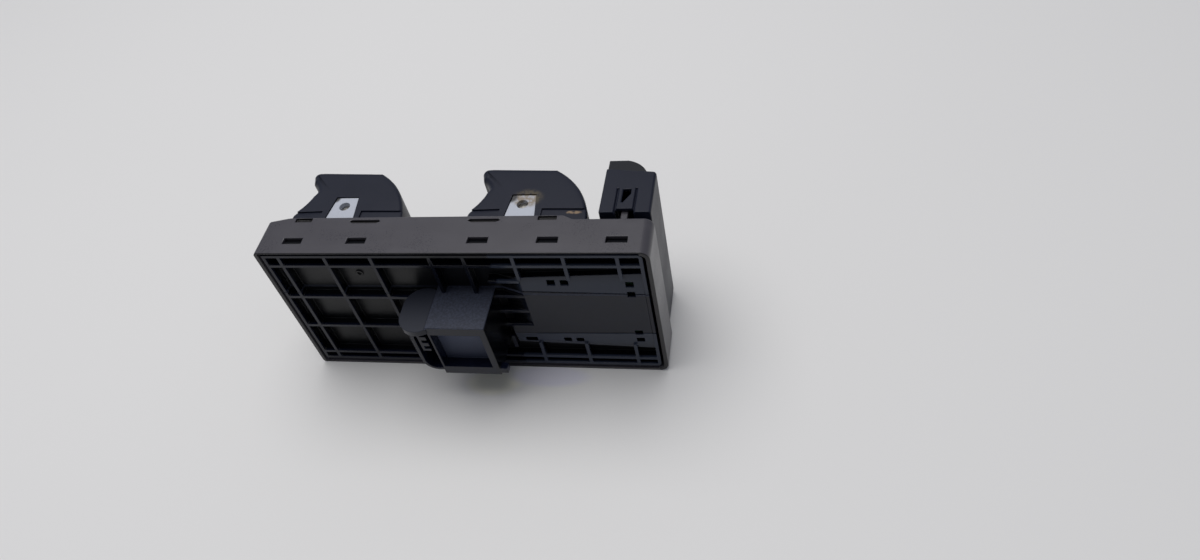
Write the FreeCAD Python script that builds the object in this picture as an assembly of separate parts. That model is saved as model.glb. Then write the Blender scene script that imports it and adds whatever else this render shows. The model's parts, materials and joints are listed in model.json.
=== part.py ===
import FreeCAD, Part
import math
import os

# Power window switch of a driver's door: four window rockers and a lock button on one module.
# X runs along the module, Y across it and Z from the wiring side up to the rockers.
# The origin is the middle of the module's footprint, in the plane of the housing's lower rim.

# Housing
body_length = 120.0
body_width = 55.5
wall = 1.3
rim_height = 15.0
deck_drop = 1.6
deck_thick = 1.6
left_end_drop = 2.0
left_slope_run = 8.0
right_step_x = 36.0
right_step_run = 3.0
corner_radius_right = 3.0
corner_radius_left = 1.2
top_edge_break = 0.4
rim_lip = 0.5
rim_rebate = 1.2

# Snap slots in the long walls, and the trim clip pockets above them; places are shares of half the length
snap_slot_places = (-0.812, -0.467, 0.163, 0.508, 0.84)
snap_slot_length = 6.2
snap_slot_low = 4.0
snap_slot_high = 6.3
clip_depth = 0.9
clip_notch_places = (-0.803, 0.483)
clip_notch_length = 5.6
clip_notch_drop = 0.4
clip_notch_tall = 1.6
clip_lens_places = (-0.462, 0.165)
clip_lens_length = 10.0
clip_lens_drop = 1.4
clip_lens_tall = 1.2

# Rockers: the same part four times, two rows of two
pivot_from_left_end = 19.3
pivot_from_right_end = 42.0
row_half_gap = 2.2
row_side_margin = 5.05
pivot_over_rim = 9.9
rocker_swing = 6.0
cap_wall = 1.5
cap_top_over_pivot = 15.6
cap_top_fall = 1.0
cap_nose_reach = 15.0
cap_nose_drop = 2.5
cap_nose_radius = 2.0
cap_scoop_reach = 11.5
cap_scoop_over_pivot = 4.9
cap_apron_reach = 16.0
cap_apron_under_pivot = 3.3
cap_shoulder_reach = 8.4
cap_back_reach = 21.0
cap_back_bulge = 3.0
cap_rim_gap = 1.8
cap_flank_under_pivot = 2.2
cap_skirt_inset = 0.5
cap_frame_half = 6.6
cap_edge_break = 0.8

# White carrier inside each rocker, its pivot pin and the post that holds the pin
window_half_low = 4.9
window_half_high = 3.8
window_over_pivot = 3.9
carrier_gap = 0.12
carrier_recess = 0.35
carrier_cheek = 1.7
carrier_half_length = 6.3
carrier_under_pivot = 5.9
bridge_over_pivot = 5.1
bridge_thick = 2.6
bridge_rib_reach = 4.0
bridge_rib_thick = 1.2
leg_reach = 8.6
leg_thick = 2.0
leg_width = 5.0
leg_travel_gap = 1.0
pin_radius = 1.7
pin_running_gap = 0.05
pin_press_gap = 0.01
pin_end_recess = 1.4
post_half_length = 4.6
post_wall = 1.6
post_side_gap = 0.5
post_top_over_pin = 2.9
swing_gap = 0.4

# Circuit board and silicone domes
board_thick = 1.6
board_edge_gap = 2.0
board_stand = 0.5
dome_sheet_thick = 0.6
dome_sheet_width = 9.0
dome_sheet_overhang = 3.6
dome_height = 1.0
dome_foot_radius = 2.6
dome_top_radius = 1.7
dome_sides = 16
board_boss_radius = 2.2
board_boss_inset = 6.0

# Bottom cover; places of ribs and ring mark are shares of half the length or half the width
cover_gap = 0.3
cover_right_gap = 0.9
rib_level = 0.5
rib_thick = 1.1
floor_top = 4.4
floor_thick = 1.0
rib_row_places = (-0.768, -0.241, 0.285, 0.804)
rib_column_places_left = (-0.883, -0.633, -0.387)
rib_column_places_right = (0.337, 0.585, 0.843)
rib_insets_middle = (2.8, 5.2)
hook_reach = 0.9
hook_side_gap = 0.25
hook_arm_thick = 1.2
ring_mark_place = -0.515
ring_mark_row_place = -0.555
ring_mark_radius = 1.2
ring_mark_tall = 0.4

# Raised tub on the right half of the cover
tub_from_plug = 9.3
tub_slope_run = 7.0
tub_half_left = 15.3
tub_half_right = 17.6
tub_crease_half = 13.7
tub_panel_half_left = 10.0
tub_panel_half_right = 9.0
tub_edge_level = 1.3
tub_crease_level = 1.0
tub_panel_level = 0.6
tub_wall = 1.2
tub_groove_width = 0.3
tub_groove_deep = 0.35
tub_hole_length = 2.4
tub_hole_width = 2.2
tub_long_hole_length = 3.8
tub_long_hole_inset = -2.3
tub_hole_insets = (9.4, 13.4)
tub_hole_end_inset = 5.2
tub_hole_end_rows = (9.1, 13.1)
fin_rows = (-7.1, -0.1, 6.6)
tub_step_row = 6.2

# Connector shroud under the cover
plug_left = -7.6
plug_right = 10.7
plug_near = -9.0
plug_far = 14.0
plug_mouth = -12.6
plug_long_wall = 3.6
plug_end_wall = 2.1
plug_partition = 0.7
plug_floor_depth = 3.7
lobe_reach = 5.9
lobe_near_step = 1.0
lobe_far_step = 1.8
lobe_radius = 4.6
lobe_wall = 1.0
lobe_depth = 7.0
comb_width = 2.8
comb_near = -6.4
comb_far = 2.8
comb_drop = 0.3
comb_offset = 1.3
comb_notch = 1.2
comb_pitch = 2.9
comb_count = 3
nub_size = 2.4
guard_gap = 0.3
guard_thick = 1.3
guard_near = 12.4
guard_far = 18.2
ear_offset = 3.1
ear_radius = 6.2
ear_rise = 4.5
ear_overhang = 1.3
ear_set_back = 0.3
ear_thick = 2.2
pin_slot_width = 4.6
pin_slot_depth = 9.0
terminal_count = 7
terminal_pitch = 2.0
terminal_width = 0.64
terminal_hole_gap = 0.05
terminal_tip_depth = 1.0
terminal_solder_height = 0.8

# Lock tower and its button
tower_length = 15.2
tower_end_inset = 1.3
tower_near_inset = 0.65
tower_far_inset = 1.35
tower_rim_gap = 1.3
tower_rise = 18.6
tower_wall = 1.2
tower_top_fall = 1.6
tower_ledge = 2.6
tower_edge_round = 1.2
tower_edge_break = 0.5
tower_foot_size = 3.0
latch_inset = 4.6
latch_width = 5.5
latch_groove = 0.6
latch_rise = 9.9
latch_notch_height = 1.4
latch_window_length = 2.4
latch_window_rise = 4.1
latch_window_tall = 5.4
latch_window_ramp = 2.0
peg_width = 2.0
guide_tall = 4.0
button_side_gap = 0.3
button_travel = 2.5
button_rise = 4.9
button_flat = 5.8
button_wall = 1.5
button_skirt_drop = 2.0
button_end_rise = 0.3
plunger_radius = 2.0
plunger_travel_gap = 0.3

# Sizes that follow from the ones above
half_length = body_length / 2
half_width = body_width / 2
deck_height = rim_height - deck_drop
deck_under = deck_height - deck_thick
left_end_height = rim_height - left_end_drop
rocker_width = half_width - row_half_gap - row_side_margin
row_offset = row_half_gap + rocker_width / 2
pivot_height = rim_height + pivot_over_rim
cap_top_height = pivot_height + cap_top_over_pivot
cap_nose_height = cap_top_height - cap_nose_drop
cap_scoop_height = pivot_height + cap_scoop_over_pivot
cap_apron_height = pivot_height - cap_apron_under_pivot
cap_flank_height = pivot_height - cap_flank_under_pivot
cap_skirt_height = rim_height + cap_rim_gap
window_top_height = pivot_height + window_over_pivot
carrier_floor_height = pivot_height - carrier_under_pivot
bridge_height = pivot_height + bridge_over_pivot
cover_left = wall + cover_gap - half_length
cover_right = half_length - wall - cover_right_gap
cover_half_width = half_width - wall - cover_gap
pocket_floor = floor_top - floor_thick
board_low = floor_top + board_stand
board_top = board_low + board_thick
dome_top = board_top + dome_sheet_thick + dome_height
leg_tip = dome_top + leg_travel_gap
post_half_width = rocker_width / 2 - cap_wall - carrier_cheek - post_side_gap
tub_left = plug_right + tub_from_plug
tower_right = half_length - tower_end_inset
tower_left = tower_right - tower_length
tower_near = tower_near_inset - half_width
tower_far = half_width - tower_far_inset
tower_middle = (tower_near + tower_far) / 2
tower_base = rim_height + tower_rim_gap
tower_top_left = tower_base + tower_rise
tower_top_right = tower_top_left - tower_top_fall
latch_left = tower_left + latch_inset
latch_right = latch_left + latch_width
latch_window_low = tower_base + latch_window_rise
latch_window_high = latch_window_low + latch_window_tall
button_top = tower_top_left + button_rise
button_end_height = tower_top_right + button_end_rise
lock_x = (tower_left + tower_right) / 2
quarter_rise = 1 - math.sqrt(0.5)


def vec(x, y, z):
    return FreeCAD.Vector(x, y, z)


def block(x0, x1, y0, y1, z0, z1):
    return Part.makeBox(x1 - x0, y1 - y0, z1 - z0, vec(x0, y0, z0))


def post(x, y, radius, z0, z1):
    return Part.makeCylinder(radius, z1 - z0, vec(x, y, z0))


def frustum(low_ring, high_ring):
    """Solid with flat sides between two closed rings of corners, in step with each other."""
    count = len(low_ring)
    loops = [low_ring, high_ring]
    for i in range(count):
        j = (i + 1) % count
        loops.append([low_ring[i], low_ring[j], high_ring[j], high_ring[i]])
    faces = [Part.Face(Part.makePolygon(loop + loop[:1])) for loop in loops]
    solid = Part.makeSolid(Part.makeShell(faces))
    if solid.Volume < 0:
        solid.reverse()
    return solid


def square_ring(x, y, half, z):
    """Corners of a level square round (x, y) at height z."""
    low_x = x - half
    high_x = x + half
    return [
        vec(low_x, y - half, z),
        vec(high_x, y - half, z),
        vec(high_x, y + half, z),
        vec(low_x, y + half, z),
    ]


def side_profile(points, y0, y1):
    """Prism along Y over a closed outline of (x, z) points."""
    corners = [vec(x, y0, z) for x, z in points]
    face = Part.Face(Part.makePolygon(corners + corners[:1]))
    return face.extrude(vec(0, y1 - y0, 0))


def edges_along(shape, direction, keep):
    """Straight edges of the shape that run along a direction and pass a test on their middle."""
    found = []
    for edge in shape.Edges:
        if edge.Curve.TypeId != "Part::GeomLine":
            continue
        run = edge.Vertexes[-1].Point - edge.Vertexes[0].Point
        if run.Length < 1e-6 or abs(abs(run.normalize().dot(direction)) - 1) > 1e-6:
            continue
        if keep(edge.CenterOfMass):
            found.append(edge)
    return found


def save(name, shape):
    shape.exportStep(os.path.join("parts", name + ".step"))


def rocker_places():
    """Pivot positions (x, y) of the four rockers."""
    places = []
    for y in (-row_offset, row_offset):
        for x in (pivot_from_left_end - half_length, half_length - pivot_from_right_end):
            places.append((x, y))
    return places


# Housing
def housing_outline(inset):
    """Side outline of the housing, moved inwards by inset all round but at the bottom."""
    left = -half_length + inset
    right = half_length - inset
    return [
        (left, 0),
        (right, 0),
        (right, deck_height - inset),
        (right_step_x, deck_height - inset),
        (right_step_x - right_step_run, rim_height - inset),
        (-half_length + left_slope_run, rim_height - inset),
        (left, left_end_height - inset),
    ]


def housing_shell():
    outer = side_profile(housing_outline(0), -half_width, half_width)
    up = vec(0, 0, 1)
    outer = outer.makeFillet(corner_radius_right, edges_along(outer, up, lambda p: p.x > 0))
    outer = outer.makeFillet(corner_radius_left, edges_along(outer, up, lambda p: p.x < 0))
    long_top = edges_along(outer, vec(1, 0, 0), lambda p: p.z > deck_height - 0.1)
    outer = outer.makeChamfer(top_edge_break, long_top)
    inner = block(
        -half_length + wall,
        half_length - wall,
        -half_width + wall,
        half_width - wall,
        -1,
        deck_under,
    )
    inner = inner.makeFillet(corner_radius_right - wall, edges_along(inner, up, lambda p: p.x > 0))
    recess = block(
        -half_length + left_slope_run + wall,
        right_step_x - right_step_run - wall,
        -half_width + 2 * wall,
        half_width - 2 * wall,
        deck_height,
        rim_height + 1,
    )
    rebate = block(
        -half_length + wall,
        half_length - corner_radius_right,
        rim_lip - half_width,
        half_width - rim_lip,
        -1,
        rim_rebate,
    )
    return outer.cut(inner).cut(recess).cut(rebate)


def snap_slots():
    """Through slots for the cover's hooks and shallow pockets for the trim's clips."""
    cuts = []
    for side in (-1, 1):
        outside = side * (half_width + 1)
        through = side * (half_width - wall - 0.1)
        blind = side * (half_width - clip_depth)
        low = min(outside, through)
        high = max(outside, through)
        for place in snap_slot_places:
            x = place * half_length
            half = snap_slot_length / 2
            cuts.append(block(x - half, x + half, low, high, snap_slot_low, snap_slot_high))
        low = min(outside, blind)
        high = max(outside, blind)
        for place in clip_notch_places:
            x = place * half_length
            half = clip_notch_length / 2
            top = rim_height - clip_notch_drop
            cuts.append(block(x - half, x + half, low, high, top - clip_notch_tall, top))
        for place in clip_lens_places:
            x = place * half_length
            half = clip_lens_length / 2
            lip = clip_lens_tall / 2
            top = rim_height - clip_lens_drop
            outline = [
                (x - half, top - lip),
                (x - half + 2 * lip, top - 2 * lip),
                (x + half - 2 * lip, top - 2 * lip),
                (x + half, top - lip),
                (x + half - lip, top),
                (x - half + lip, top),
            ]
            cuts.append(side_profile(outline, low, high))
    return cuts


def pivot_post(x, y):
    """Hollow post on the deck that holds one rocker's pin, rounded over the pin."""
    top = pivot_height + post_top_over_pin
    solid = block(
        x - post_half_length,
        x + post_half_length,
        y - post_half_width,
        y + post_half_width,
        deck_under,
        top,
    )
    across = vec(0, 1, 0)
    solid = solid.makeFillet(post_top_over_pin, edges_along(solid, across, lambda p: p.z > top - 0.1))
    hollow = block(
        x - post_half_length + post_wall,
        x + post_half_length - post_wall,
        y - post_half_width + post_wall,
        y + post_half_width - post_wall,
        deck_under,
        top - post_wall,
    )
    return solid.cut(hollow)


def make_housing():
    shell = housing_shell()
    cuts = snap_slots()
    adds = []
    leg_swing = (pivot_height - deck_under) * math.sin(math.radians(rocker_swing))
    slot_half = leg_thick / 2 + leg_swing + swing_gap
    for x, y in rocker_places():
        adds.append(pivot_post(x, y))
        bore = Part.makeCylinder(
            pin_radius + pin_press_gap,
            rocker_width,
            vec(x, y - rocker_width / 2, pivot_height),
            vec(0, 1, 0),
        )
        cuts.append(bore)
        for end in (-1, 1):
            middle = x + end * leg_reach
            half = leg_width / 2 + swing_gap
            slot = block(
                middle - slot_half,
                middle + slot_half,
                y - half,
                y + half,
                deck_under - 1,
                rim_height,
            )
            cuts.append(slot)
    for x in (-half_length + board_boss_inset, half_length - board_boss_inset):
        for y in (-half_width + board_boss_inset, half_width - board_boss_inset):
            adds.append(post(x, y, board_boss_radius, board_top, deck_under))
    peg_x = (latch_left + latch_right) / 2
    for y in (tower_near + tower_wall, tower_far - tower_wall):
        inward = 1 if y < 0 else -1
        y_in = y + inward * peg_width
        y_low = min(y + inward * button_side_gap, y_in)
        y_high = max(y + inward * button_side_gap, y_in)
        peg_left = peg_x - peg_width / 2
        stem = block(peg_left, peg_left + peg_width, y_low, y_high, deck_height, latch_window_low)
        adds.append(stem)
    cuts.append(post(lock_x, tower_middle, plunger_radius + swing_gap, deck_under - 1, rim_height))
    return shell.multiFuse(adds).cut(Part.makeCompound(cuts)).removeSplitter()


# Bottom cover
def tub_section(x, half, panel_half, level_shift):
    """Closed section of the tub in the plane at x, open side up."""
    points = [
        (-half, floor_top),
        (-half, tub_edge_level + level_shift),
        (-tub_crease_half, tub_crease_level + level_shift),
        (-panel_half, tub_panel_level + level_shift),
        (panel_half, tub_panel_level + level_shift),
        (tub_crease_half, tub_crease_level + level_shift),
        (half, tub_edge_level + level_shift),
        (half, floor_top),
    ]
    corners = [vec(x, y, z) for y, z in points]
    return Part.makePolygon(corners + corners[:1])


def tub_body(inset):
    """The raised tub, or its hollow when inset is the wall; only the lanes with fins slope."""
    x_left = tub_left - tub_slope_run
    left = tub_section(x_left, tub_half_left - inset, tub_panel_half_left - inset, inset)
    right = tub_section(
        cover_right - inset, tub_half_right - inset, tub_panel_half_right - inset, inset
    )
    body = Part.makeLoft([left, right], True, True)
    slope = [
        (x_left - 1, 0),
        (tub_left + inset, 0),
        (tub_left + inset, tub_crease_level),
        (x_left + inset, pocket_floor + inset),
        (x_left + inset, board_low),
        (x_left - 1, board_low),
    ]
    body = body.cut(side_profile(slope, -half_width, tub_step_row + inset))
    return body.cut(block(x_left - 1, x_left + inset, -half_width, half_width, 0, floor_top))


def tub_holes():
    holes = []
    places = []
    for side in (-1, 1):
        for inset in tub_hole_insets:
            places.append((tub_left + inset, side * tub_crease_half, tub_hole_length))
        for y in tub_hole_end_rows:
            places.append((cover_right - tub_hole_end_inset, side * y, tub_hole_length))
    places.append((tub_left + tub_long_hole_inset, tub_crease_half, tub_long_hole_length))
    for x, y, length in places:
        half = tub_hole_width / 2
        hole = block(x - length / 2, x + length / 2, y - half, y + half, 0, tub_edge_level + 2 * tub_wall)
        holes.append(hole)
    return holes


def tub_grooves():
    """Shallow groove along both edges of the tub's middle panel."""
    grooves = []
    for side in (-1, 1):
        left = side * tub_panel_half_left
        right = side * tub_panel_half_right
        corners = [
            vec(tub_left, left, 0),
            vec(cover_right, right, 0),
            vec(cover_right, right + side * tub_groove_width, 0),
            vec(tub_left, left + side * tub_groove_width, 0),
        ]
        face = Part.Face(Part.makePolygon(corners + corners[:1]))
        grooves.append(face.extrude(vec(0, 0, tub_panel_level + tub_groove_deep)))
    return grooves


def lobe_outline(inset):
    """Plan of the rounded lobe beside the plug, as a face in the plane of the mouth."""
    x_out = plug_left - lobe_reach + inset
    x_in = plug_left + 0.2
    y_near = plug_near + lobe_near_step + inset
    y_far = plug_far - lobe_far_step - inset
    flat = Part.makePlane(x_in - x_out, y_far - y_near, vec(x_out, y_near, plug_mouth))
    solid = flat.extrude(vec(0, 0, floor_top - plug_mouth))
    up = vec(0, 0, 1)
    outer = edges_along(solid, up, lambda p: p.x < x_out + 0.1)
    return solid.makeFillet(lobe_radius - inset, outer)


def plug_shroud():
    main = block(plug_left, plug_right, plug_near, plug_far, plug_mouth, floor_top)
    shroud = main.fuse(lobe_outline(0))
    mouth = block(
        plug_left + plug_partition,
        plug_right - plug_end_wall,
        plug_near + plug_long_wall,
        plug_far - plug_long_wall,
        plug_mouth - 1,
        plug_mouth + plug_floor_depth,
    )
    slot = block(
        plug_left + plug_partition,
        plug_right - plug_end_wall,
        plug_near + plug_long_wall,
        plug_near + plug_long_wall + pin_slot_width,
        plug_mouth - 1,
        plug_mouth + plug_floor_depth + pin_slot_depth,
    )
    lobe_hollow = lobe_outline(lobe_wall).common(
        block(-half_length, plug_left, plug_near, plug_far, plug_mouth - 1, plug_mouth + lobe_depth)
    )
    shroud = shroud.cut(mouth).cut(slot).cut(lobe_hollow)
    comb_left = plug_left - comb_offset - comb_width
    comb = block(
        comb_left,
        comb_left + comb_width,
        comb_near,
        comb_far,
        plug_mouth + comb_drop,
        plug_mouth + lobe_depth,
    )
    first = (comb_near + comb_far) / 2 - comb_pitch * (comb_count - 1) / 2
    for i in range(comb_count):
        y = first + i * comb_pitch
        gap = block(
            comb_left + comb_width / 3,
            comb_left + comb_width + 1,
            y - comb_notch / 2,
            y + comb_notch / 2,
            plug_mouth,
            plug_mouth + lobe_depth / 2,
        )
        comb = comb.cut(gap)
    ear_x = plug_left - ear_offset
    ear_y = plug_near + ear_set_back
    ear_z = plug_mouth + ear_radius - ear_overhang
    along = vec(0, 1, 0)
    ear = Part.makeCylinder(ear_radius, ear_thick, vec(ear_x, ear_y, ear_z), along)
    ear = ear.fuse(Part.makeCylinder(ear_radius, ear_thick, vec(ear_x, ear_y, ear_z + ear_rise), along))
    ear = ear.fuse(
        block(
            ear_x - ear_radius, ear_x + ear_radius, ear_y, ear_y + ear_thick, ear_z, ear_z + ear_rise
        )
    )
    beside = block(
        -half_length, plug_left + plug_partition / 2, plug_near, plug_far, plug_mouth - 5, floor_top
    )
    ear = ear.common(beside)
    nub = block(
        plug_right - 0.1,
        plug_right + nub_size,
        plug_far - plug_long_wall + 0.4,
        plug_far - 0.9,
        plug_mouth,
        plug_mouth + nub_size,
    )
    guard = block(
        plug_right + guard_gap,
        plug_right + guard_gap + guard_thick,
        guard_near,
        guard_far,
        tub_crease_level,
        floor_top,
    )
    return shroud.multiFuse([comb, ear, nub, guard])


def terminal_places():
    first = (plug_left + plug_right - plug_end_wall) / 2 - terminal_pitch * (terminal_count - 1) / 2
    y = plug_near + plug_long_wall + pin_slot_width / 2
    return [(first + i * terminal_pitch, y) for i in range(terminal_count)]


def rib_between(x0, x1, y0, y1):
    return block(x0, x1, y0, y1, rib_level, pocket_floor + 0.1)


def cover_ribs():
    """Rim, rows and columns of the rib grid, each standing on the cover's floor."""
    ribs = []
    half = rib_thick / 2
    y_end = cover_half_width
    for x in (cover_left + half, cover_right - half):
        ribs.append(rib_between(x - half, x + half, -y_end, y_end))
    for y in (half - y_end, y_end - half):
        ribs.append(rib_between(cover_left, cover_right, y - half, y + half))
    rows = [place * half_width for place in rib_row_places]
    for y in (rows[0], rows[-1]):
        ribs.append(rib_between(cover_left, cover_right, y - half, y + half))
    for y in rows[1:-1]:
        ribs.append(rib_between(cover_left, plug_left - lobe_reach + 1, y - half, y + half))
    for place in rib_column_places_left:
        x = place * half_length
        ribs.append(rib_between(x - half, x + half, -y_end, y_end))
    for x in (plug_left + rib_insets_middle[0], plug_right - rib_insets_middle[1]):
        ribs.append(rib_between(x - half, x + half, -y_end, plug_near + 0.2))
        ribs.append(rib_between(x - half, x + half, plug_far - 0.2, y_end))
    for place in rib_column_places_right:
        x = place * half_length
        ribs.append(rib_between(x - half, x + half, -y_end, -tub_half_left + 0.1))
        ribs.append(rib_between(x - half, x + half, tub_half_left - 0.1, y_end))
    brace_y = 0.3 - tub_half_left
    ribs.append(rib_between(plug_right - 0.2, tub_left, brace_y, brace_y + rib_thick))
    for y in fin_rows:
        fin_top = pocket_floor + 0.1
        ribs.append(block(plug_right - 0.2, tub_left, y - half, y + half, tub_crease_level, fin_top))
    return ribs


def cover_hooks():
    """Arms along the cover's long edges, each with a wedge hook that stands in a snap slot."""
    hooks = []
    for side in (-1, 1):
        for place in snap_slot_places:
            x = place * half_length
            half = snap_slot_length / 2 - hook_side_gap
            foot = side * (cover_half_width - 0.1)
            tip = side * (cover_half_width + cover_gap + hook_reach)
            low = snap_slot_low + hook_side_gap
            high = snap_slot_high - hook_side_gap
            corners = [
                vec(x - half, foot, low),
                vec(x - half, tip, low),
                vec(x - half, foot + (tip - foot) / 2, high),
                vec(x - half, foot, high),
            ]
            face = Part.Face(Part.makePolygon(corners + corners[:1]))
            hooks.append(face.extrude(vec(2 * half, 0, 0)))
            edge = side * cover_half_width
            root = edge - side * hook_arm_thick
            hooks.append(block(x - half, x + half, min(edge, root), max(edge, root), pocket_floor, high))
    return hooks


def cover_envelope():
    """Space inside the housing that the cover fills, with the corners of the housing's cavity."""
    space = block(
        cover_left,
        cover_right,
        -cover_half_width,
        cover_half_width,
        plug_mouth - ear_overhang,
        board_low,
    )
    radius = corner_radius_right - wall - cover_gap
    return space.makeFillet(radius, edges_along(space, vec(0, 0, 1), lambda p: p.x > 0))


def make_bottom_cover():
    plate = block(
        cover_left,
        cover_right,
        -cover_half_width,
        cover_half_width,
        pocket_floor,
        floor_top,
    )
    adds = cover_ribs() + [tub_body(0), plug_shroud()]
    ring_x = ring_mark_place * half_length
    ring_y = ring_mark_row_place * half_width
    ring_low = pocket_floor - ring_mark_tall
    adds.append(post(ring_x, ring_y, ring_mark_radius, ring_low, pocket_floor + 0.1))
    for x in (-half_length + board_boss_inset, half_length - board_boss_inset):
        for y in (-half_width + board_boss_inset, half_width - board_boss_inset):
            adds.append(post(x, y, board_boss_radius, floor_top - 0.1, board_low))
    cover = plate.multiFuse(adds).common(cover_envelope()).multiFuse(cover_hooks())
    cuts = tub_holes() + tub_grooves()
    keep_plug = block(
        -half_length, plug_right + tub_wall, -half_width, half_width, plug_mouth, pivot_height
    )
    cuts.append(tub_body(tub_wall).cut(keep_plug))
    cuts.append(post(ring_x, ring_y, ring_mark_radius / 2, ring_low, pocket_floor))
    for x, y in terminal_places():
        half = terminal_width / 2 + terminal_hole_gap
        cuts.append(block(x - half, x + half, y - half, y + half, plug_mouth, floor_top + 1))
    return cover.cut(Part.makeCompound(cuts)).removeSplitter()


# Board, terminals and domes
def make_board():
    half_y = cover_half_width - board_edge_gap
    board = block(
        cover_left + board_edge_gap, cover_right - board_edge_gap, -half_y, half_y, board_low, board_top
    )
    for x, y in terminal_places():
        half = terminal_width / 2 + terminal_hole_gap
        board = board.cut(block(x - half, x + half, y - half, y + half, board_low - 1, board_top + 1))
    return board


def make_terminals():
    pins = []
    tip = plug_mouth + plug_floor_depth + terminal_tip_depth
    half = terminal_width / 2
    for x, y in terminal_places():
        low = tip + terminal_width
        stem = block(x - half, x + half, y - half, y + half, low, board_top + terminal_solder_height)
        point = frustum(square_ring(x, y, half / 2, tip), square_ring(x, y, half, low))
        pins.append(stem.fuse(point).removeSplitter())
    return Part.makeCompound(pins)


def dome_ring(x, y, radius, z):
    """Corners of a ring of straight sides at height z."""
    corners = []
    for i in range(dome_sides):
        angle = 2 * math.pi * i / dome_sides
        corners.append(vec(x + radius * math.cos(angle), y + radius * math.sin(angle), z))
    return corners


def dome(x, y):
    low = board_top + dome_sheet_thick
    foot = dome_ring(x, y, dome_foot_radius, low)
    crown = dome_ring(x, y, dome_top_radius, low + dome_height)
    return frustum(foot, crown)


def make_dome_pad():
    half_x = leg_reach + dome_sheet_overhang
    half_y = dome_sheet_width / 2
    sheet = block(-half_x, half_x, -half_y, half_y, board_top, board_top + dome_sheet_thick)
    return sheet.fuse(dome(-leg_reach, 0)).fuse(dome(leg_reach, 0))


def make_lock_dome():
    half = dome_sheet_width / 2
    sheet = block(
        lock_x - half,
        lock_x + half,
        tower_middle - half,
        tower_middle + half,
        board_top,
        board_top + dome_sheet_thick,
    )
    return sheet.fuse(dome(lock_x, tower_middle))


# Rocker cap
def cap_wire(inset, y):
    """Side outline of the cap at y: lip, scoop and apron in front, a long curve down the back."""
    top = cap_top_height - inset
    nose_x = -cap_nose_reach + inset
    radius = cap_nose_radius - 0.6 * inset
    scoop_x = -cap_scoop_reach + inset
    apron_x = -cap_apron_reach + inset
    back_x = cap_back_reach - inset
    shoulder = vec(cap_shoulder_reach - inset / 2, y, top - cap_top_fall)
    low = cap_skirt_height if inset == 0 else cap_skirt_height - 1
    lip_top = vec(nose_x + radius, y, top)
    lip_mid = vec(nose_x + quarter_rise * radius, y, top - quarter_rise * radius)
    lip_end = vec(nose_x, y, top - radius)
    lip_under = vec(nose_x + 0.35 * radius, y, cap_nose_height - radius + 0.4 * inset)
    scoop = vec(scoop_x, y, cap_scoop_height + inset / 2)
    scoop_mid = vec(scoop_x - 0.45, y, (lip_under.z + scoop.z) / 2 + 0.6)
    apron = vec(apron_x + 0.4, y, cap_apron_height + inset)
    apron_mid = vec((scoop.x + apron.x) / 2 - 0.3, y, (scoop.z + apron.z) / 2 - 1.4)
    foot = vec(apron_x - 0.2, y, low)
    heel = vec(back_x, y, low)
    chord = heel - shoulder
    swell = vec(-chord.z, 0, chord.x).normalize() * (cap_back_bulge - inset / 4)
    if swell.x < 0:
        swell = swell * -1
    back = Part.Arc(shoulder, shoulder + chord * 0.5 + swell, heel)
    edges = [
        Part.LineSegment(lip_top, shoulder).toShape(),
        back.toShape(),
        Part.LineSegment(heel, foot).toShape(),
        Part.LineSegment(foot, apron).toShape(),
        Part.Arc(apron, apron_mid, scoop).toShape(),
        Part.Arc(scoop, scoop_mid, lip_under).toShape(),
        Part.LineSegment(lip_under, lip_end).toShape(),
        Part.Arc(lip_end, lip_mid, lip_top).toShape(),
    ]
    return Part.Wire(Part.__sortEdges__(edges))


def window_outline(gap, low):
    """Outline of the flank window from low up, or of the carrier's pad inside it when gap is given."""
    return [
        (-window_half_low + gap, low),
        (window_half_low - gap, low),
        (window_half_low - gap, carrier_floor_height),
        (window_half_high - gap, window_top_height - gap),
        (-window_half_high + gap, window_top_height - gap),
        (-window_half_low + gap, carrier_floor_height),
    ]


def pad_outline(gap):
    """Outline of the carrier's pad: the window's, less its straight foot."""
    return window_outline(gap, 0)[2:]


def cap_prism(inset, width):
    """The cap's side outline carried across a width."""
    return Part.Face(cap_wire(inset, -width / 2)).extrude(vec(0, width, 0))


def crest_edges(solid):
    """Edges of both flanks that the finger touches: the lip, the top and the long back."""
    found = []
    for edge in solid.Edges:
        box = edge.BoundBox
        on_flank = box.YLength < 1e-6
        if on_flank and box.ZMax > cap_top_height - cap_top_fall - 0.1:
            found.append(edge)
    return found


def make_cap():
    upper = cap_prism(0, rocker_width)
    upper = upper.makeChamfer(cap_edge_break, crest_edges(upper))
    reach = body_length / 2
    upper = upper.common(block(-reach, reach, -reach, reach, cap_flank_height, cap_top_height + 1))
    lower = cap_prism(0, rocker_width - 2 * cap_skirt_inset)
    lower = lower.common(block(-reach, reach, -reach, reach, 0, cap_flank_height))
    frame = block(-cap_frame_half, cap_frame_half, -reach, reach, cap_skirt_height, cap_flank_height)
    upper = upper.fuse(cap_prism(0, rocker_width).common(frame))
    hollow = cap_prism(cap_wall, rocker_width - 2 * cap_wall)
    window = side_profile(window_outline(0, 0), -rocker_width, rocker_width)
    return upper.fuse(lower).cut(hollow).cut(window)


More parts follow.
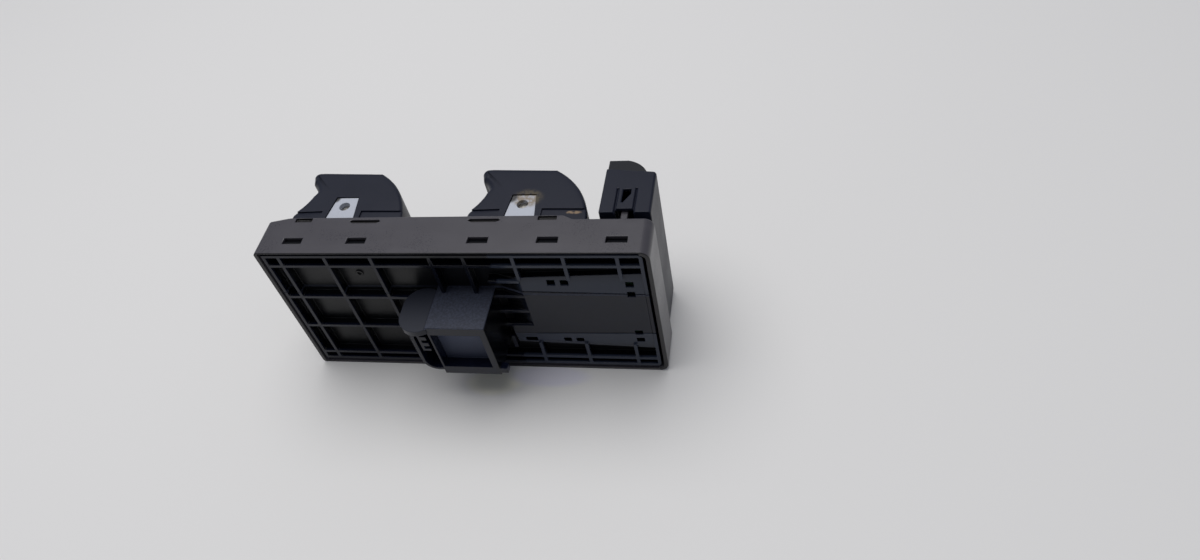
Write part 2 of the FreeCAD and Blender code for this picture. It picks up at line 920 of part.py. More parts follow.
# Carrier and pin
def make_carrier():
    flank = rocker_width / 2
    cheek_out = flank - cap_wall - carrier_gap
    cheek_in = flank - cap_wall - carrier_cheek
    roof = cap_top_height - cap_wall - cap_top_fall - carrier_gap
    reach = leg_reach + leg_thick / 2
    bridge_top = bridge_height + bridge_thick
    bridge = block(-reach, reach, -cheek_out, cheek_out, bridge_height, bridge_top)
    adds = []
    for side in (-1, 1):
        y_in = side * cheek_in
        y_out = side * cheek_out
        low = min(y_in, y_out)
        high = max(y_in, y_out)
        cheek = block(
            -carrier_half_length, carrier_half_length, low, high, carrier_floor_height, bridge_top
        )
        y_pad = side * (flank - carrier_recess)
        pad = side_profile(pad_outline(carrier_gap), min(y_in, y_pad), max(y_in, y_pad))
        x_leg = side * leg_reach
        half = leg_thick / 2
        leg = block(
            x_leg - half, x_leg + half, -leg_width / 2, leg_width / 2, leg_tip, bridge_top
        )
        x_rib = side * bridge_rib_reach
        half = bridge_rib_thick / 2
        rib = block(x_rib - half, x_rib + half, -cheek_in, cheek_in, bridge_height, roof)
        adds.extend([cheek, pad, leg, rib])
    bore = Part.makeCylinder(
        pin_radius + pin_running_gap,
        2 * rocker_width,
        vec(0, -rocker_width, pivot_height),
        vec(0, 1, 0),
    )
    return bridge.multiFuse(adds).cut(bore).removeSplitter()


def make_pin():
    half = rocker_width / 2 - carrier_recess - pin_end_recess
    return Part.makeCylinder(pin_radius, 2 * half, vec(0, -half, pivot_height), vec(0, 1, 0))


# Lock tower and button
def make_tower():
    outline = [
        (tower_left, tower_base),
        (tower_right, tower_base),
        (tower_right, tower_top_right),
        (tower_left, tower_top_left),
    ]
    solid = side_profile(outline, tower_near, tower_far)
    across = vec(0, 1, 0)
    crest = edges_along(solid, across, lambda p: p.x > tower_right - 0.1 and p.z > tower_base + 1)
    solid = solid.makeFillet(tower_edge_round, crest)
    upright = edges_along(solid, vec(0, 0, 1), lambda p: p.x > tower_right - 0.1)
    solid = solid.makeChamfer(tower_edge_break, upright)
    hollow = block(
        tower_left + tower_wall,
        tower_right - tower_wall,
        tower_near + tower_wall,
        tower_far - tower_wall,
        tower_base + tower_wall,
        tower_top_right - tower_wall,
    )
    well = block(
        tower_left - 1,
        tower_right - tower_ledge,
        tower_near + tower_wall,
        tower_far - tower_wall,
        tower_top_right - button_travel - tower_wall,
        tower_top_left + 1,
    )
    adds = []
    cuts = [hollow, well]
    for x in (tower_left + tower_foot_size, tower_right - tower_foot_size):
        for y in (tower_near + 2 * tower_foot_size, tower_far - 2 * tower_foot_size):
            half = tower_foot_size / 2
            adds.append(block(x - half, x + half, y - half, y + half, deck_height, tower_base + 0.1))
    guide_radius = plunger_radius + button_side_gap
    guide_top = tower_base + guide_tall
    adds.append(post(lock_x, tower_middle, guide_radius + tower_wall, tower_base, guide_top))
    bore = post(lock_x, tower_middle, guide_radius, tower_base - 1, guide_top + 1)
    peg_x = (latch_left + latch_right) / 2
    for side, y_face in ((-1, tower_near), (1, tower_far)):
        y_out = y_face + side * 1
        y_skin = y_face - side * tower_wall / 2
        y_in = y_face - side * (tower_wall + peg_width + 2 * button_side_gap)
        for x in (latch_left, latch_right):
            groove = block(
                x - latch_groove / 2,
                x + latch_groove / 2,
                min(y_out, y_skin),
                max(y_out, y_skin),
                tower_base - 1,
                tower_base + latch_rise,
            )
            cuts.append(groove)
        notch = block(
            latch_left,
            latch_right,
            min(y_out, y_in),
            max(y_out, y_in),
            tower_base - 1,
            tower_base + latch_notch_height,
        )
        cuts.append(notch)
        window_half = latch_window_length / 2
        window = [
            (peg_x - window_half, latch_window_low),
            (peg_x - window_half + 0.4, latch_window_low),
            (peg_x + window_half, latch_window_high - latch_window_ramp),
            (peg_x + window_half, latch_window_high),
            (peg_x - window_half, latch_window_high),
        ]
        y_through = y_face - side * (tower_wall + 0.5)
        cuts.append(side_profile(window, min(y_out, y_through), max(y_out, y_through)))
    cuts.append(bore)
    tower = solid.cut(Part.makeCompound([hollow, well])).multiFuse(adds)
    return tower.cut(Part.makeCompound(cuts[2:])).removeSplitter()


def button_outline(inset, low):
    """Side outline of the button: a flat top that curves down towards the tower's ledge."""
    left = tower_left + inset
    right = tower_right - tower_ledge - button_side_gap - inset
    top = button_top - inset
    bend = left + button_flat
    heel = vec(right, 0, button_end_height - inset)
    mid = vec(bend + 0.62 * (right - bend), 0, button_end_height + 0.66 * (top - button_end_height))
    edges = [
        Part.LineSegment(vec(left, 0, top), vec(bend, 0, top)).toShape(),
        Part.Arc(vec(bend, 0, top), mid, heel).toShape(),
        Part.LineSegment(heel, vec(right, 0, low)).toShape(),
        Part.LineSegment(vec(right, 0, low), vec(left, 0, low)).toShape(),
        Part.LineSegment(vec(left, 0, low), vec(left, 0, top)).toShape(),
    ]
    return Part.Face(Part.Wire(Part.__sortEdges__(edges)))


def make_button():
    y0 = tower_near + tower_wall + button_side_gap
    y1 = tower_far - tower_wall - button_side_gap
    low = tower_top_right - button_skirt_drop
    solid = button_outline(0, tower_top_right).extrude(vec(0, y1 - y0, 0))
    solid.translate(vec(0, y0, 0))
    inner_left = tower_left + tower_wall + button_side_gap
    skirt = block(
        inner_left,
        tower_right - tower_ledge - button_side_gap,
        y0,
        y1,
        low,
        tower_top_right + 0.1,
    )
    solid = solid.fuse(skirt)
    hollow = button_outline(button_wall + tower_wall, low - 1).extrude(vec(0, y1 - y0 - 2 * button_wall, 0))
    hollow.translate(vec(0, y0 + button_wall, 0))
    solid = solid.cut(hollow)
    tip = dome_top + button_travel + plunger_travel_gap
    crown = button_outline(0, low).extrude(vec(0, y1 - y0, 0))
    crown.translate(vec(0, y0, 0))
    plunger = post(lock_x, tower_middle, plunger_radius, tip, low + 1)
    plunger = plunger.fuse(post(lock_x, tower_middle, plunger_radius, low, button_top).common(crown))
    return solid.fuse(plunger).removeSplitter()


def main():
    os.makedirs("parts", exist_ok=True)
    save("housing", make_housing())
    save("bottom_cover", make_bottom_cover())
    save("circuit_board", make_board())
    save("connector_pins", make_terminals())
    pieces = {
        "rocker_cap": make_cap(),
        "rocker_carrier": make_carrier(),
        "pivot_pin": make_pin(),
        "dome_pad": make_dome_pad(),
    }
    for number, (x, y) in enumerate(rocker_places(), 1):
        for name, piece in pieces.items():
            save("%s_%d" % (name, number), piece.translated(vec(x, y, 0)))
    save("lock_dome", make_lock_dome())
    save("lock_tower", make_tower())
    save("lock_button", make_button())


main()
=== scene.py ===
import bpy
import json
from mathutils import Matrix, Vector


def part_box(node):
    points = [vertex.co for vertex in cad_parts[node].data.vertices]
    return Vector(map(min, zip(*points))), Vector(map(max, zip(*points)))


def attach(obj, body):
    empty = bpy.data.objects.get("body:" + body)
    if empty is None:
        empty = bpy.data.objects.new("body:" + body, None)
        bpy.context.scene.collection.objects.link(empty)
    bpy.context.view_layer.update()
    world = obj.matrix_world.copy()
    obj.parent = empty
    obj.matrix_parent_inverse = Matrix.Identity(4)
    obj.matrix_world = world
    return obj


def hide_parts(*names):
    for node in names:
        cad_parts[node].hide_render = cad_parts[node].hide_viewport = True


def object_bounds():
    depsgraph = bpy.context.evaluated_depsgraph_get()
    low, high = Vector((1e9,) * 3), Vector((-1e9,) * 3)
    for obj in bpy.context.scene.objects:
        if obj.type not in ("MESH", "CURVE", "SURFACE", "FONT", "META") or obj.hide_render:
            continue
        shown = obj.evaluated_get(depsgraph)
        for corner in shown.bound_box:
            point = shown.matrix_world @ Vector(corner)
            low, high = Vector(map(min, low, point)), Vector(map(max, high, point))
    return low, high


bl_info = {
    "name": "Window switch finishes",
    "version": (1, 0, 0),
    "blender": (4, 5, 0),
    "location": "View3D > Sidebar > Window Switch",
    "description": "Surfaces, materials and a studio for a driver's door window switch module",
    "category": "Object",
}

import json
import math

import bmesh
import bpy
import numpy as np
from mathutils import Matrix

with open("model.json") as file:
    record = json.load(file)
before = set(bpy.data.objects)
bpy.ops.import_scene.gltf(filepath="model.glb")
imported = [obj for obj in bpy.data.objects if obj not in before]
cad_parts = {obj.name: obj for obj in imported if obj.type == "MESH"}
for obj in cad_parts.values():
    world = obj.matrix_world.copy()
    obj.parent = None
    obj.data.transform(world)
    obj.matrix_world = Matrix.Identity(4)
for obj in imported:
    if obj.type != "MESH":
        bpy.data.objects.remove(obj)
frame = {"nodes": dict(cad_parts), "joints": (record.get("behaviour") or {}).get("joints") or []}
cad_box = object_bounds()

ROCKERS = (1, 2, 3, 4)

# Limits for joining and shading faces, in metres, square metres and radians
WELD = 1e-6
SLIVER = 1e-7
CAD_WELD = 2e-6
LARGE_FACE = 4e-6
FLAT = math.radians(0.6)
CREASE_LARGE = math.radians(1.5)
CREASE_SMALL = math.radians(30)
CREASE_MESH = math.radians(38)


# Settings a user would change
def length(label, text, metres):
    return bpy.props.FloatProperty(
        name=label, description=text, default=metres, min=0.0, precision=5, unit="LENGTH"
    )


def share(label, text, value):
    return bpy.props.FloatProperty(
        name=label, description=text, default=value, min=0.0, max=1.0, subtype="FACTOR"
    )


def tint(label, text, rgb):
    return bpy.props.FloatVectorProperty(
        name=label, description=text, default=rgb, size=3, min=0.0, max=1.0, subtype="COLOR"
    )


class HousingSettings(bpy.types.PropertyGroup):
    edge: length("Edge", "Radius of the moulded edges", 0.0002)
    colour: tint("Colour", "Dark warm grey of the housing", (0.048, 0.0455, 0.055))
    roughness: share("Roughness", "Roughness of the satin skin", 0.32)
    grain: length("Grain", "Size of the moulded grain", 0.0004)


class CoverSettings(bpy.types.PropertyGroup):
    edge: length("Edge", "Radius of the rib and plug edges", 0.00012)
    colour: tint("Colour", "Black of the bottom cover", (0.0036, 0.0054, 0.0145))
    roughness: share("Roughness", "Roughness of the cover", 0.2)
    # Painted light: the plug's near side and floor are painted lighter than the cover's black
    painted_light_matt: tint("Grained colour", "Colour of the plug's near side and floor", (0.025, 0.030, 0.049))
    # Painted reflection: the tub's strips are painted paler than its panel
    strip: tint("Strip colour", "Colour of the tub's strips beside its panel", (0.023, 0.030, 0.050))
    # Painted shade down in the pockets, beside the plug and on the plug's end
    painted_shade: tint("Deep colour", "Cleaner black down in the pockets", (0.0018, 0.0022, 0.0036))
    dust: share("Dust", "How much pale dust lies on the ribs", 0.35)


class CapSettings(bpy.types.PropertyGroup):
    edge: length("Back edge", "Radius along the top and the long back", 0.0012)
    lip_edge: length("Lip edge", "Radius at the lip", 0.0017)
    scoop_edge: length("Scoop edge", "Radius along the finger's scoop", 0.0022)
    small_edge: length("Small edge", "Radius at the apron's foot", 0.0005)
    wall: length("Wall", "Thickness of the cap", 0.0015)
    step: length("Step", "How far the skirt stands back from the flank", 0.0005)
    colour: tint("Colour", "Bluish black of the caps and the tower", (0.0065, 0.0085, 0.0195))
    worn: tint("Worn streak", "Tan of the worn streak low on one skirt", (0.24, 0.17, 0.11))
    grease: tint("Grease", "Thin old grease on one flank", (0.085, 0.07, 0.045))
    roughness: share("Roughness", "Roughness of the soft satin skin", 0.42)


class CarrierSettings(bpy.types.PropertyGroup):
    edge: length("Edge", "Radius of the carrier's edges", 0.00012)
    colour: tint("Colour", "White of the carriers", (0.44, 0.465, 0.53))
    grease: tint("Grease", "Old grease round the pivot hole", (0.20, 0.15, 0.09))
    grime: tint("Grime", "Dark grime in the upper corners of two pads", (0.03, 0.03, 0.032))


class PinSettings(bpy.types.PropertyGroup):
    bevel: length("Bevel", "Bevel at the pin's ends", 0.0003)
    colour: tint("Colour", "Grey of the steel", (0.42, 0.41, 0.39))


class PadSettings(bpy.types.PropertyGroup):
    colour: tint("Colour", "Grey of the silicone", (0.50, 0.51, 0.52))


class BoardSettings(bpy.types.PropertyGroup):
    edge: length("Edge", "Radius of the board's edges", 0.0001)
    colour: tint("Colour", "Green of the solder mask", (0.012, 0.075, 0.03))
    track: tint("Track", "Green over the copper tracks", (0.03, 0.15, 0.06))


class TerminalSettings(bpy.types.PropertyGroup):
    colour: tint("Colour", "Tin over brass", (0.66, 0.63, 0.56))


class LockSettings(bpy.types.PropertyGroup):
    edge: length("Edge", "Radius of the tower's and the button's edges", 0.00025)
    colour: tint("Button colour", "Grey black of the lock button", (0.005, 0.006, 0.009))


class StudioSettings(bpy.types.PropertyGroup):
    table: tint("Table", "Pale table top", (0.74, 0.735, 0.73))
    # Painted light: warm and violet patches in the plug's shadow on the table
    warm: tint("Warm patch", "Faint yellowish patch in the plug's shadow", (0.90, 0.88, 0.77))
    violet: tint("Violet patch", "Faint violet patch beside the warm one", (0.68, 0.675, 0.755))
    sky: tint("Surround", "Soft light from all sides", (0.30, 0.315, 0.355))
    backdrop: tint("Backdrop", "What the camera sees beyond the table", (0.66, 0.66, 0.67))
    lamp_colour: tint("Lamp colour", "Slightly warm light of the soft lamp", (1.0, 0.985, 0.96))
    lamp_power: bpy.props.FloatProperty(
        name="Lamp power",
        description="Power of the soft lamp over the table",
        default=9.0,
        min=0.0,
        unit="POWER",
    )


class SwitchSettings(bpy.types.PropertyGroup):
    housing: bpy.props.PointerProperty(name="Housing", type=HousingSettings)
    cover: bpy.props.PointerProperty(name="Bottom cover", type=CoverSettings)
    caps: bpy.props.PointerProperty(name="Rocker caps", type=CapSettings)
    carriers: bpy.props.PointerProperty(name="Carriers", type=CarrierSettings)
    pins: bpy.props.PointerProperty(name="Pivot pins", type=PinSettings)
    pads: bpy.props.PointerProperty(name="Dome pads", type=PadSettings)
    board: bpy.props.PointerProperty(name="Circuit board", type=BoardSettings)
    terminals: bpy.props.PointerProperty(name="Terminals", type=TerminalSettings)
    lock: bpy.props.PointerProperty(name="Lock", type=LockSettings)
    studio: bpy.props.PointerProperty(name="Studio", type=StudioSettings)


# Meshes
def new_mesh(name, verts, faces):
    """Object at the origin from vertex and face arrays, faces outwards, smooth but at sharp edges."""
    mesh = bpy.data.meshes.new(name)
    mesh.from_pydata(np.asarray(verts, float).tolist(), [], faces)
    mesh.update()
    work = bmesh.new()
    work.from_mesh(mesh)
    bmesh.ops.remove_doubles(work, verts=work.verts, dist=WELD)
    bmesh.ops.dissolve_degenerate(work, edges=work.edges, dist=SLIVER)
    bmesh.ops.recalc_face_normals(work, faces=work.faces)
    work.to_mesh(mesh)
    work.free()
    mesh.shade_smooth()
    mesh.set_sharp_from_angle(angle=CREASE_MESH)
    thing = bpy.data.objects.new(name, mesh)
    bpy.context.scene.collection.objects.link(thing)
    return thing


def grid_faces(rows, columns, start=0):
    """Quads of a rows by columns grid: corner (i, j) joins (i, j+1), (i+1, j+1) and (i+1, j)."""
    i, j = np.meshgrid(np.arange(rows - 1), np.arange(columns - 1), indexing="ij")
    a = (i * columns + j).ravel() + start
    return np.stack([a, a + 1, a + columns + 1, a + columns], 1)


def thick_sheet(outer, inner):
    """Closed wall between two grids of the same size: both sheets and a strip on each border."""
    rows, columns = outer.shape[:2]
    count = rows * columns
    index = np.arange(count).reshape(rows, columns)
    border = np.concatenate([index[0, :-1], index[:-1, -1], index[-1, :0:-1], index[:0:-1, 0]])
    following = np.roll(border, -1)
    strips = np.stack([border, following, following + count, border + count], 1)
    back = grid_faces(rows, columns, count)[:, ::-1]
    faces = np.concatenate([grid_faces(rows, columns), back, strips])
    verts = np.concatenate([outer.reshape(-1, 3), inner.reshape(-1, 3)])
    return verts, faces


def join_parts(parts):
    """One vertex array and one face list from several (verts, faces) pairs."""
    verts = np.concatenate([np.asarray(v, float).reshape(-1, 3) for v, _ in parts])
    faces = []
    base = 0
    for v, f in parts:
        faces.extend([[int(k) + base for k in face] for face in f])
        base += len(v)
    return verts, faces


def arc(a, b, c, count):
    """Points on the circle through a, b and c, from a to c, at even angles."""
    a, b, c = (np.asarray(p, float) for p in (a, b, c))
    d = 2 * (a[0] * (b[1] - c[1]) + b[0] * (c[1] - a[1]) + c[0] * (a[1] - b[1]))
    squares = np.array([a @ a, b @ b, c @ c])
    ys = np.array([b[1] - c[1], c[1] - a[1], a[1] - b[1]])
    xs = np.array([c[0] - b[0], a[0] - c[0], b[0] - a[0]])
    centre = np.array([squares @ ys, squares @ xs]) / d
    start, mid, end = (math.atan2(*(p - centre)[::-1]) for p in (a, b, c))
    turn = (end - start) % (2 * math.pi)
    if (mid - start) % (2 * math.pi) > turn:
        turn -= 2 * math.pi
    angles = start + turn * np.linspace(0, 1, count)
    radius = np.linalg.norm(a - centre)
    return centre + radius * np.stack([np.cos(angles), np.sin(angles)], 1)


def run_share(line):
    """Share of the polyline's length at each of its points."""
    steps = np.linalg.norm(np.diff(line, axis=0), axis=1)
    run = np.concatenate([[0], np.cumsum(steps)])
    return run / run[-1]


def along(line, places):
    """Points at the given shares of a polyline's length, by straight interpolation."""
    run = run_share(line)
    return np.stack([np.interp(places, run, line[:, k]) for k in range(line.shape[1])], 1)


def nearest(line, point):
    """Index of the polyline's point nearest to a given one, by steps along the axes."""
    return int(np.argmin(np.abs(line - np.array(point)).sum(1)))


def outward(points):
    """Unit normals to the left of a polyline's direction, from central differences."""
    t = np.gradient(points, axis=0)
    n = np.stack([-t[:, 1], t[:, 0]], 1)
    return n / np.linalg.norm(n, axis=1, keepdims=True)


def dressed(node, edge, body, slot, material):
    """Copy of a CAD node with its loose triangles joined into flat faces and its edges rounded.
    A crease between two large faces stays crisp, and small facets of a curve blend into each other."""
    source = frame["nodes"][node]
    name = node.capitalize()
    mesh = source.data.copy()
    mesh.name = name
    mesh.transform(source.matrix_world)
    work = bmesh.new()
    work.from_mesh(mesh)
    bmesh.ops.remove_doubles(work, verts=work.verts, dist=CAD_WELD)
    bmesh.ops.dissolve_limit(
        work, angle_limit=FLAT, verts=work.verts, edges=work.edges, delimit=set()
    )
    for face in work.faces:
        face.smooth = True
    for seam in work.edges:
        if len(seam.link_faces) != 2:
            continue
        small = min(face.calc_area() for face in seam.link_faces)
        limit = CREASE_LARGE if small > LARGE_FACE else CREASE_SMALL
        seam.smooth = seam.calc_face_angle(0.0) < limit
    work.to_mesh(mesh)
    work.free()
    mesh.materials.clear()
    thing = bpy.data.objects.new(name, mesh)
    bpy.context.scene.collection.objects.link(thing)
    rounding = thing.modifiers.new("Edges", "BEVEL")
    rounding.width = edge
    rounding.segments = 2
    rounding.limit_method = "ANGLE"
    rounding.angle_limit = CREASE_SMALL
    rounding.use_clamp_overlap = False
    rounding.miter_outer = "MITER_SHARP"
    flat = thing.modifiers.new("Flat faces", "WEIGHTED_NORMAL")
    flat.keep_sharp = True
    place(thing, body, slot, material, node)


def place(thing, body, slot, material, *nodes):
    """Gives a piece its material and its body, and hides the CAD nodes it stands for. The slot argument
    is not used.
    """
    thing.data.materials.clear()
    thing.data.materials.append(material)
    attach(thing, body)
    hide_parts(*nodes)


# Places with a finish of their own, or with painted light or shade, in metres. A pair is the start and
# the end of a soft border, a triple a level with how far from it the finish is full and how far from it
# there is none. The tub's strips, which carry a painted reflection, are where |y| + STRIP_SLOPE * x is
# past STRIP_ACROSS
# Painted shade in the housing's clip pockets
CLIP_POCKET_X = (0.0569, 0.057)
CLIP_POCKET_Y = ((0.0265, 0.0267), (0.0274, 0.0276))
CLIP_POCKET_Z = ((0.009, 0.0091), (0.0149, 0.01495))
# Painted shade on the housing's underside at its rim
RIM_SHADE_Z = (0.0001, 0.0004)
# Painted reflection on the tub's strips beside its panel
STRIP_SLOPE = 0.0265
STRIP_ACROSS = (0.01053, 0.01068)
STRIP_X = (0.013, 0.0135)
STRIP_Z = (0.0014, 0.0016)
# Painted shade: how deep in the pockets the cover is painted darker
POCKET_SHADE_Z = (0.0009, 0.0018)
COVER_FLOOR_Z = (0.0032, 0.00335)
# Painted shadow of the plug on the cover beside it, and painted shade on the plug's end
PLUG_SHADOW_X = ((-0.010, -0.008), (0.012, 0.014))
PLUG_SHADOW_Y = (-0.0104, -0.0100)
PLUG_SHADOW_Z = (0.0003, 0.0006)
PLUG_SHADOW_SHARE = 0.75
PLUG_END_X = (0.0107, 0.0002, 0.0003)
PLUG_END_Z = (0.0030, 0.0034)
# Painted light on the plug's near side and floor, a painted highlight near the floor's top, and a
# painted shade line at the crease by the ear
PLUG_SIDE_Y = (-0.009, 0.0004, 0.0005)
PLUG_SIDE_Z = (0.0034, 0.0037)
PLUG_FLOOR_X = ((-0.007, -0.0068), (0.009, 0.0092))
PLUG_FLOOR_Y = (0.0025, 0.0082, 0.0084)
PLUG_FLOOR_Z = (-0.0089, 0.0002, 0.0003)
FLOOR_HIGHLIGHT_Y = (-0.004, 0.009)
CREASE_SHADE_X = (-0.0077, 0.00012, 0.00022)
EAR_X = (-0.0078, -0.0077)

# Soft spots: centre and radii, in metres. A spot is full out to SPOT_CORE of its radii
SPOT_CORE = 0.55
WORN_STREAK = ((0.0345, -0.0225, 0.0213), (0.0030, 0.0012, 0.0009))
GREASE_PATCH = ((0.0192, -0.0226, 0.0272), (0.0058, 0.006, 0.0044))
PAD_CORNER_PATCHES = (
    ((-0.0450, -0.0226, 0.0284), (0.0022, 0.006, 0.0022)),
    ((0.0136, -0.0226, 0.0280), (0.0030, 0.006, 0.0030)),
)
# Painted warm and violet light in the plug's shadow on the table
PAINTED_WARM_LIGHT = ((0.003, 0.0278, -0.0065), (0.011, 0.01, 0.006))
PAINTED_VIOLET_LIGHT = ((0.0215, 0.0278, -0.0035), (0.016, 0.01, 0.005))

# Size of the soft mottling in all moulded plastic
MOTTLE_SIZE = 0.012


# Materials
def add(tree, kind, inputs=None, **settings):
    """Adds one node, sets its options, and sets or links its inputs."""
    made = tree.nodes.new(kind)
    for key, value in settings.items():
        setattr(made, key, value)
    for key, value in (inputs or {}).items():
        if isinstance(value, bpy.types.NodeSocket):
            tree.links.new(value, made.inputs[key])
        else:
            made.inputs[key].default_value = value
    return made


def begin(name, roughness=0.5, metallic=0.0, specular=0.5):
    """Material with one Principled shader and its own object coordinates."""
    material = bpy.data.materials.new(name)
    material.use_nodes = True
    tree = material.node_tree
    shader = tree.nodes["Principled BSDF"]
    shader.inputs["Roughness"].default_value = roughness
    shader.inputs["Metallic"].default_value = metallic
    shader.inputs["Specular IOR Level"].default_value = specular
    where = add(tree, "ShaderNodeTexCoord").outputs["Object"]
    return material, tree, shader, where


def noise(tree, where, size, detail=2.0, stretch=None, rough=0.5):
    """Noise whose features are about that many metres across, stretched if asked."""
    if stretch is not None:
        where = add(tree, "ShaderNodeMapping", {"Vector": where, "Scale": stretch}).outputs["Vector"]
    inputs = {"Vector": where, "Scale": 1.0 / size, "Detail": detail, "Roughness": rough}
    return add(tree, "ShaderNodeTexNoise", inputs).outputs["Fac"]


def ramp(tree, value, low, high, out_low=0.0, out_high=1.0):
    """Maps low..high smoothly to out_low..out_high, held at both ends."""
    made = add(
        tree,
        "ShaderNodeMapRange",
        {"Value": value, "From Min": low, "From Max": high, "To Min": out_low, "To Max": out_high},
        clamp=True,
        interpolation_type="SMOOTHSTEP",
    )
    return made.outputs["Result"]


def maths(tree, operation, a, b=0.5):
    """Result of one sum. The second value doesn't count where the operation takes one."""
    return add(tree, "ShaderNodeMath", {0: a, 1: b}, operation=operation).outputs["Value"]


def all_of(tree, first, *others):
    """Product of several shares: 1 only where each of them is 1."""
    for other in others:
        first = maths(tree, "MULTIPLY", first, other)
    return first


def fade(tree, value, start, end):
    """1 up to start, 0 from end onwards."""
    return ramp(tree, value, end, start)


def band(tree, value, rise, fall):
    """1 between two soft borders, each a pair of values from its start to its end."""
    return all_of(tree, ramp(tree, value, *rise), fade(tree, value, *fall))


def close_to(tree, value, level, full, none):
    """1 where a value is within full of a level, 0 from none onwards."""
    away = maths(tree, "ABSOLUTE", maths(tree, "SUBTRACT", value, level))
    return fade(tree, away, full, none)


def split(tree, where):
    """X, Y and Z of a point."""
    outputs = add(tree, "ShaderNodeSeparateXYZ", {"Vector": where}).outputs
    return outputs["X"], outputs["Y"], outputs["Z"]


def blend(tree, share_of, a, b):
    """Colour a where the share is 0 and b where it is 1."""
    made = add(tree, "ShaderNodeMix", data_type="RGBA")
    for key, value in (("Factor", share_of), ("A", a), ("B", b)):
        socket = [s for s in made.inputs if s.name == key and s.enabled][0]
        if isinstance(value, bpy.types.NodeSocket):
            tree.links.new(value, socket)
        elif key == "Factor":
            socket.default_value = value
        else:
            socket.default_value = (*value, 1.0)
    return [s for s in made.outputs if s.enabled][0]


def scaled(colour, amount):
    """Colour made darker or lighter by a factor, held at 1."""
    return tuple(min(1.0, c * amount) for c in colour)


def spot(tree, where, centre, radii):
    """1 inside a soft ellipsoid round a point, 0 outside it."""
    kind = "ShaderNodeVectorMath"
    moved = add(tree, kind, {0: where, 1: centre}, operation="SUBTRACT").outputs[0]
    shaped = add(tree, kind, {0: moved, 1: radii}, operation="DIVIDE").outputs[0]
    far = add(tree, kind, {0: shaped}, operation="LENGTH").outputs["Value"]
    return fade(tree, far, SPOT_CORE, 1.0)


def bump(tree, height, distance):
    """Normals of a surface that rises by distance where the height is 1."""
    inputs = {"Height": height, "Distance": distance, "Strength": 1.0}
    return add(tree, "ShaderNodeBump", inputs).outputs["Normal"]


def paint(tree, shader, colour):
    """Links a colour to the shader."""
    tree.links.new(colour, shader.inputs["Base Color"])


def moulded(name, colour, roughness, grain, depth, mottle=0.12, specular=0.5):
    """Moulded plastic: fine grain as bump, soft mottling in colour and roughness."""
    material, tree, shader, where = begin(name, roughness, specular=specular)
    fine = noise(tree, where, grain, detail=3.0, rough=0.6)
    broad = noise(tree, where, MOTTLE_SIZE, detail=3.0)
    shade = blend(tree, broad, scaled(colour, 1 - mottle), scaled(colour, 1 + mottle))
    paint(tree, shader, shade)
    by_grain = ramp(tree, fine, 0.3, 0.7, -0.04, 0.04)
    by_mottle = ramp(tree, broad, 0.3, 0.7, -0.03, 0.03)
    spread = maths(tree, "ADD", by_grain, by_mottle)
    tree.links.new(maths(tree, "ADD", spread, roughness), shader.inputs["Roughness"])
    tree.links.new(bump(tree, fine, depth), shader.inputs["Normal"])
    return material, tree, shader, where, shade


def housing_material(s):
    """Satin dark grey with flow lines along the walls, with painted shade in the clip pockets and under
    the rim.
    """
    material, tree, shader, where, shade = moulded(
        "Housing plastic", s.colour, s.roughness, s.grain, depth=0.000006, specular=0.42
    )
    flow = noise(tree, where, 0.004, detail=4.0, stretch=(0.12, 1.0, 1.0))
    shade = blend(tree, ramp(tree, flow, 0.45, 0.75, 0.0, 0.25), shade, scaled(s.colour, 1.5))
    x, y, z = split(tree, where)
    # Painted shade: darker in the clip pockets
    pocket_shade = all_of(
        tree,
        band(tree, maths(tree, "ABSOLUTE", y), *CLIP_POCKET_Y),
        band(tree, z, *CLIP_POCKET_Z),
        fade(tree, maths(tree, "ABSOLUTE", x), *CLIP_POCKET_X),
    )
    shade = blend(tree, pocket_shade, shade, scaled(s.colour, 0.15))
    # Painted shade: darker on the rim's underside
    shade = blend(tree, fade(tree, z, *RIM_SHADE_Z), shade, scaled(s.colour, 0.25))
    paint(tree, shader, shade)
    return material


